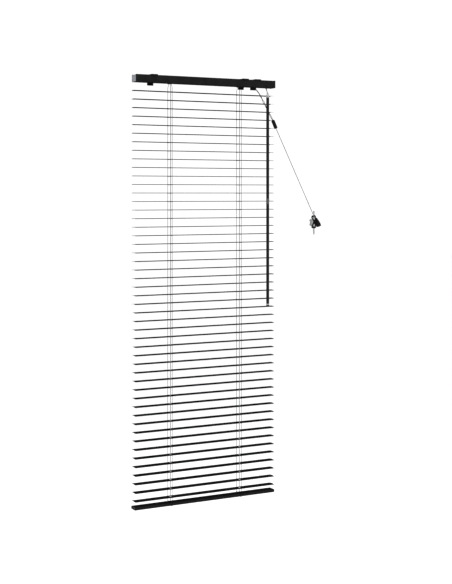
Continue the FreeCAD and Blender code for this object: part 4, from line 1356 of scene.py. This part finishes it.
# ---------------------------------------------------------------- free cords
@dataclass
class FreeCords:
    """The two lift cords outside the lock, the cord condenser, the pull cord and its tassel."""

    front: tuple[Place, ...] = (
        (0.0, 2.8, 0.0), (0.0, 2.8, -3.0), (2.6, 0.8, -7.4), (6.6, -1.9, -13.6),
        (10.8, -3.3, -20.4), (14.6, -2.6, -25.3), (16.8, -1.9, -31.0), (18.8, -3.0, -39.1),
        (24.8, -4.0, -45.0), (28.8, -3.1, -49.4), (30.5, -2.3, -55.0), (32.8, -3.6, -61.6),
        (37.3, -4.9, -67.0), (42.6, -4.3, -72.6), (45.1, -4.5, -78.4), (47.95, -4.8, -84.1))
    back: tuple[Place, ...] = (
        (0.0, 4.6, 0.0), (0.0, 4.6, -3.0), (3.0, 2.6, -7.7), (7.2, 0.1, -14.0),
        (10.8, -1.5, -20.4), (13.0, -2.6, -26.1), (16.8, -3.7, -31.0), (22.8, -3.0, -36.9),
        (24.8, -2.2, -45.0), (26.6, -3.1, -50.6), (30.5, -4.1, -55.0), (35.0, -3.6, -60.4),
        (37.3, -3.1, -67.0), (39.4, -4.3, -74.4), (43.1, -4.5, -79.6), (46.65, -4.8, -84.9))
    condenser_top: Place = (47.3, -4.8, -84.5)
    condenser_end: Place = (57.3, -5.2, -106.1)
    straight: tuple[Place, ...] = ((57.3, -5.2, -106.1), (186.7, 19.5, -330.8), (190.9, 20.35, -338.2))
    half_turn: tuple[Place, ...] = (
        (0.0, -7.2, 19.4), (4.1, -7.8, 16.6), (4.5, -13.0, 11.4), (1.6, -15.8, 5.8),
        (-3.4, -15.8, -1.6), (-6.0, -13.0, -7.8), (-4.8, -7.8, -12.0))
    low: tuple[Place, ...] = (
        (0.0, -7.2, -14.0), (4.1, -7.8, -12.0), (4.5, -13.0, -7.4), (1.6, -16.5, -1.6),
        (-3.4, -16.5, 5.8), (-5.4, -13.0, 11.4), (-4.6, -7.8, 16.6))
    half_turns: int = 12
    columns: int = 3
    crossing: float = -15.0
    horn_back: float = -10.0
    lay: Place = (1.0, 1.35, 0.75)
    horn_lay: float = 1.3
    outer: float = 0.7
    hitch: tuple[float, float] = (-15.2, 0.5)
    tail: tuple[Place, ...] = ((0.0, -6.0, 15.9), (4.4, -6.6, 16.4), (7.8, -8.4, 16.1), (9.3, -9.0, 12.4))
    tassel_lean: Place = (0.36, 0.0, -0.93)
    cord_d: float = 1.2 * MM
    condenser_r: float = 4.6 * MM
    lift_length: float = 0.0985
    pull_length: float = 0.82

    def build(self) -> None:
        """Builds the cords, what is on them and the turns round the cleat."""
        condenser = self.condenser()
        for name, route in (("front", self.front), ("back", self.back)):
            points = millimetres(route, LOCK_MOUTH)
            cord, path = LIFT_BRAID.tube(f"free_lift_cord_{name}", Line(points))
            dress(cord, BLACK_YARN, Slot.CORD, "headrail", "pull_cord", angle=80)
        tassel = self.tassel()
        route = millimetres(self.straight, LOCK_MOUTH) + millimetres(self.winding(), CLEAT)
        cord, path = LIFT_BRAID.tube("pull_cord_to_cleat", Line(route))
        dress(cord, BLACK_YARN, Slot.CORD, "headrail", "pull_cord", angle=80)

    def winding(self) -> list[Place]:
        """Works out the figure of eight round the cleat's horns.

        The strands lie beside each other in two rows, and the outer row is hitched over the front
        of the horns. The cord comes in behind the upper horn, so the first point is left out.

        Returns:
            The turns' points in millimetres from the cleat's middle.
        """
        points: list[Place] = []
        last = self.half_turns - 1
        for n in range(self.half_turns):
            row, column = n // (2 * self.columns), n // 2 % self.columns - self.columns // 2
            way = -1 if n % 2 else 1
            for x, y, z in self.low if n % 2 else self.half_turn:
                if y < self.crossing:
                    beside, over, down = self.lay
                    points.append((x + way * beside * column, y - over * row, z - down * column))
                else:
                    out = math.copysign(self.outer * row, x) if x else 0.0
                    hitched = row and y > self.horn_back and not (n == last and z > 0)
                    depth = self.hitch[0] - self.hitch[1] * column if hitched else y
                    points.append((x + out, depth, z - self.horn_lay * column))
        return points[1:] + list(self.tail)

    def condenser(self) -> bpy.types.Object:
        """Turns the condenser: a shouldered barrel with a grip band.

        Returns:
            The condenser.
        """
        top, end = millimetres([self.condenser_top, self.condenser_end], LOCK_MOUTH)
        long, r = (end - top).length, self.condenser_r
        outline = [(0.45 * r, 0.6 * MM), (0.5 * r, 0.1 * MM), (0.62 * r, 0), (0.8 * r, 0.7 * MM),
                   (0.96 * r, 2.0 * MM), (r, 2.8 * MM)]
        for k in range(6):
            groove = (7.5 + 1.6 * k) * MM
            outline += [(r, groove), (0.95 * r, groove + 0.25 * MM), (0.95 * r, groove + 0.55 * MM),
                        (r, groove + 0.8 * MM)]
        outline += [(r, long - 1.6 * MM), (0.96 * r, long - 0.7 * MM), (0.84 * r, long), (0.4 * r, long),
                    (0.35 * r, long - 0.5 * MM)]
        barrel = Bench.turned("cord_condenser", outline, top, end - top)
        return dress(barrel, BLACK_PLASTIC, Slot.BLACK, "headrail", "cord_fittings")

    def tassel(self) -> bpy.types.Object:
        """Turns the bell-shaped tassel and hollows its mouth.

        Returns:
            The tassel.
        """
        long, base, neck = 24.0 * MM, 7.0 * MM, 2.6 * MM
        outline = [(neck * 0.5, 0.5 * MM), (neck * 0.6, 0), (neck, 0.2 * MM), (neck * 1.05, 2.2 * MM),
                   (neck * 1.3, 4.2 * MM), (base * 0.62, long * 0.28), (base * 0.78, long * 0.45),
                   (base * 0.9, long * 0.62), (base * 0.97, long * 0.76), (base, long * 0.88),
                   (base * 0.97, long * 0.95), (base * 0.9, long), (base * 0.76, long),
                   (base * 0.72, long * 0.9), (base * 0.6, long * 0.6), (base * 0.3, long * 0.5)]
        top = millimetres([self.tail[-1]], CLEAT)[0]
        bell = Bench.turned("cord_tassel", outline, top, Vector(self.tassel_lean), sides=48)
        return dress(bell, BLACK_PLASTIC, Slot.BLACK, "headrail", "cord_fittings")


# ---------------------------------------------------------------- cleat
@dataclass
class Cleat:
    """Clear cord cleat with tapered horns, held by two screws."""

    length: float = 64.0 * MM
    horn: float = 5.0 * MM
    front: float = -14.0 * MM
    back: float = -10.0 * MM
    base: tuple[float, float, float] = (10.0 * MM, 3.0 * MM, 19.0 * MM)
    post: tuple[float, float] = (6.2 * MM, 16.0 * MM)
    pad_r: float = 4.2 * MM
    spacing: float = 11.0 * MM
    screw_r: float = 1.6 * MM
    shank_r: float = 1.4 * MM
    head_r: float = 2.4 * MM
    past_wall: float = 12.6 * MM

    def build(self) -> None:
        """Builds the cleat and its screws."""
        heights = [s * self.spacing / 2 for s in (-1, 1)]
        body = self.horns()
        wide, thick, tall = self.base
        foot = Bench.block("foot", self.off(-wide / 2, -thick, -tall / 2), self.off(wide / 2, 0, tall / 2))
        Bench.round_edges(foot, 1.5 * MM, 4, lambda a, b: abs(a.y - b.y) > thick / 2)
        Bench.round_edges(foot, 0.6 * MM, 3, lambda a, b: max(a.y, b.y) < -thick / 2)
        width, high = self.post
        post = Bench.block("post", self.off(-width / 2, self.back - 1 * MM, -high / 2),
                           self.off(width / 2, -thick / 2, high / 2))
        Bench.round_edges(post, 1.2 * MM, 4, lambda a, b: abs(a.y - b.y) > thick)
        pad = Bench.bar("pad", self.off(0, self.back, 0), self.off(0, self.front, 0), self.pad_r)
        Bench.combine(body, [post, foot, pad], "UNION")
        Bench.combine(body, [self.bore(z) for z in heights], "DIFFERENCE")
        body.name = "cleat_body"
        dress(body, CLEAR_PLASTIC, Slot.CLEAR, "headrail", "cord_cleat")
        for name, z in zip(("lower", "upper"), heights):
            self.screw(name, z)

    def off(self, x: float, y: float, z: float) -> Vector:
        """Gives a place from its distance to the cleat's middle on the wall."""
        return CLEAT + Vector((x, y, z))

    def horns(self) -> bpy.types.Object:
        """Models the bar of the two horns, tapered towards its round tips.

        Returns:
            The bar.
        """
        half, thick = self.horn / 2, self.back - self.front
        bar = Bench.block("horns", self.off(-half, self.front, -self.length / 2),
                          self.off(half, self.back, self.length / 2))
        Bench.slices(bar, 2, [CLEAT.z + self.length * k / 16 for k in range(-7, 8)])
        for point in bar.data.vertices:
            out = abs(point.co.z - CLEAT.z) / (self.length / 2)
            point.co.x = CLEAT.x + (point.co.x - CLEAT.x) * (1 - 0.25 * out)
            middle = (self.front + self.back) / 2 - 0.6 * MM * out * out
            point.co.y = middle + (point.co.y - (self.front + self.back) / 2) * (1 - 0.25 * out)
        Bench.round_edges(bar, thick * 0.3, 4, lambda a, b: abs(a.z - b.z) > thick / 2)
        Bench.round_edges(bar, thick * 0.3, 3, lambda a, b: min(
            abs(a.z - CLEAT.z), abs(b.z - CLEAT.z)) > self.length * 0.499)
        return bar

    def bore(self, z: float) -> bpy.types.Object:
        """Makes the tool for one counterbored screw hole.

        Args:
            z: Its height from the cleat's middle.

        Returns:
            The tool.
        """
        depth, seat = self.front - self.back, 0.65 * MM
        return Bench.turned("bore", [
            (self.head_r + 0.05 * MM, depth), (self.head_r + 0.05 * MM, seat),
            (self.screw_r + 0.05 * MM, seat),
            (self.screw_r + 0.05 * MM, -self.front + 1 * MM)], self.off(0, self.front, z), Vector((0, 1, 0)))

    def screw(self, name: str, z: float) -> None:
        """Models one screw: a pan head with a cross recess, a plain shank and a cut thread.

        Args:
            name: upper or lower.
            z: Its height from the cleat's middle.
        """
        head = self.off(0, self.front - 0.9 * MM, z)
        r, tip = self.head_r, self.past_wall - self.front + 0.9 * MM
        wall = -self.front + 0.9 * MM
        body = Bench.turned("screw_" + name, [
            (r * 0.6, 0), (r * 0.85, 0.2 * MM), (r, 0.6 * MM), (r, 1.5 * MM), (self.shank_r, 1.5 * MM),
            (self.shank_r, wall - 0.5 * MM), (self.shank_r * 0.8, wall), (self.shank_r * 0.8, tip - 3 * MM),
            (0.15 * MM, tip)], head, Vector((0, 1, 0)))
        recess = []
        for wide, tall in ((0.55 * MM, 2.6 * MM), (2.6 * MM, 0.55 * MM)):
            recess.append(Bench.block("recess", head + Vector((-wide / 2, -0.5 * MM, -tall / 2)),
                                      head + Vector((wide / 2, 0.8 * MM, tall / 2))))
        Bench.combine(body, recess, "DIFFERENCE")
        screw = Bench.join("cleat_screw_" + name, [body, self.thread(z)])
        dress(screw, ZINC, Slot.STEEL, "headrail", "cord_cleat")

    def thread(self, z: float) -> bpy.types.Object:
        """Winds the thread from the wall to the point.

        Args:
            z: The screw's height from the cleat's middle.

        Returns:
            The thread.
        """
        pitch, core, turns = 1.3 * MM, self.shank_r * 0.72, 8
        Bench.clear()
        bpy.ops.mesh.primitive_circle_add(vertices=3, radius=pitch * 0.3, fill_type="NOTHING")
        wire = bpy.context.active_object
        places = ((core, -0.3 * pitch), (self.screw_r, 0.0), (core, 0.3 * pitch))
        for point, (out, up) in zip(wire.data.vertices, places):
            point.co = (out, 0, up)
        Bench.modify(wire, "SCREW", angle=2 * math.pi, screw_offset=pitch, iterations=turns, steps=18,
                     render_steps=18, use_merge_vertices=True, use_normal_calculate=True)
        reach = self.past_wall - 0.4 * MM
        for point in wire.data.vertices:
            share = min(1.0, max(0.12, (reach - point.co.z) / (3 * MM)))
            point.co.x *= share
            point.co.y *= share
        wire.rotation_euler = (-math.pi / 2, 0, 0)
        wire.location = self.off(0, 0.5 * MM, z)
        Bench.hold(wire)
        return Bench.take("thread")


# ---------------------------------------------------------------- studio
@dataclass
class Studio:
    """Pale floor, soft lights and the camera."""

    eye: Place = (-1.4395, -2.8130, -0.28985)
    heading: float = math.atan2(0.4726, 0.8813)
    lens: float = 74.9
    shift_up: float = -0.1687
    floor_drop: float = 0.6
    floor_size: float = 40.0
    daylight: float = 1.03
    gamma: float = 0.8
    lights: tuple[tuple[str, Place, Place, float, float], ...] = (
        ("key", (-2.6, -2.6, 1.6), (0.0, 0.0, -0.5), 2.4, 34.0),
        ("fill", (2.8, -2.2, 0.4), (0.0, 0.0, -0.5), 2.6, 18.0),
        ("back", (0.4, 2.6, 1.2), (0.0, 0.0, -0.5), 2.6, 15.0))

    def build(self) -> None:
        """Builds the studio."""
        bpy.context.scene.view_settings.view_transform = "Standard"
        bpy.context.scene.view_settings.gamma = self.gamma
        self.floor()
        self.sky()
        for light in self.lights:
            self.softbox(*light)
        self.camera()

    def floor(self) -> None:
        """Lays the floor."""
        Bench.clear()
        bpy.ops.mesh.primitive_plane_add(size=self.floor_size, location=(0, 0, FOOT_LOW.z - self.floor_drop))
        floor = Bench.take("studio_floor")
        floor.data.materials.append(Paint("floor_paint", (0.99, 0.99, 0.99), 0.9, 0.2).material())

    def sky(self) -> None:
        """Sets the even white light from all round."""
        world = bpy.data.worlds.new("studio")
        bpy.context.scene.world = world
        world.use_nodes = True
        background = world.node_tree.nodes["Background"]
        background.inputs["Color"].default_value = (1.0, 1.0, 1.0, 1.0)
        background.inputs["Strength"].default_value = self.daylight

    def softbox(self, name: str, place: Place, target: Place, size: float, power: float) -> None:
        """Hangs one soft light.

        Args:
            name: Its name.
            place: Where it hangs.
            target: What it points at.
            size: Its width.
            power: Its power in watts.
        """
        Bench.clear()
        way = (Vector(target) - Vector(place)).to_track_quat("-Z", "Y").to_euler()
        bpy.ops.object.light_add(type="AREA", radius=size, location=place, rotation=way)
        light = bpy.context.active_object
        light.name = "softbox_" + name
        light.data.size = size
        light.data.energy = power

    def camera(self) -> None:
        """Sets the camera up, level and a little to the left of the blind."""
        Bench.clear()
        bpy.ops.object.camera_add(location=self.eye, rotation=(math.pi / 2, 0, -self.heading))
        camera = bpy.context.active_object
        camera.name = "camera"
        camera.data.lens = self.lens
        camera.data.sensor_width = 36.0
        camera.data.shift_y = self.shift_up
        camera.data.clip_end = 100.0
        bpy.context.scene.camera = camera


def main() -> None:
    """Builds the studio and every sub-assembly."""
    logging.basicConfig(level=logging.INFO, format="%(name)s: %(message)s")
    for part in (Studio(), FreeCords(), Cleat(), Headrail(), Brackets(), TiltGear(), Wand(),
                 Slats(), Ladders(), LiftCords(), BottomRail()):
        log.info("building %s", type(part).__name__)
        part.build()
    Bench.clear()


if __name__ == "__main__":
    main()
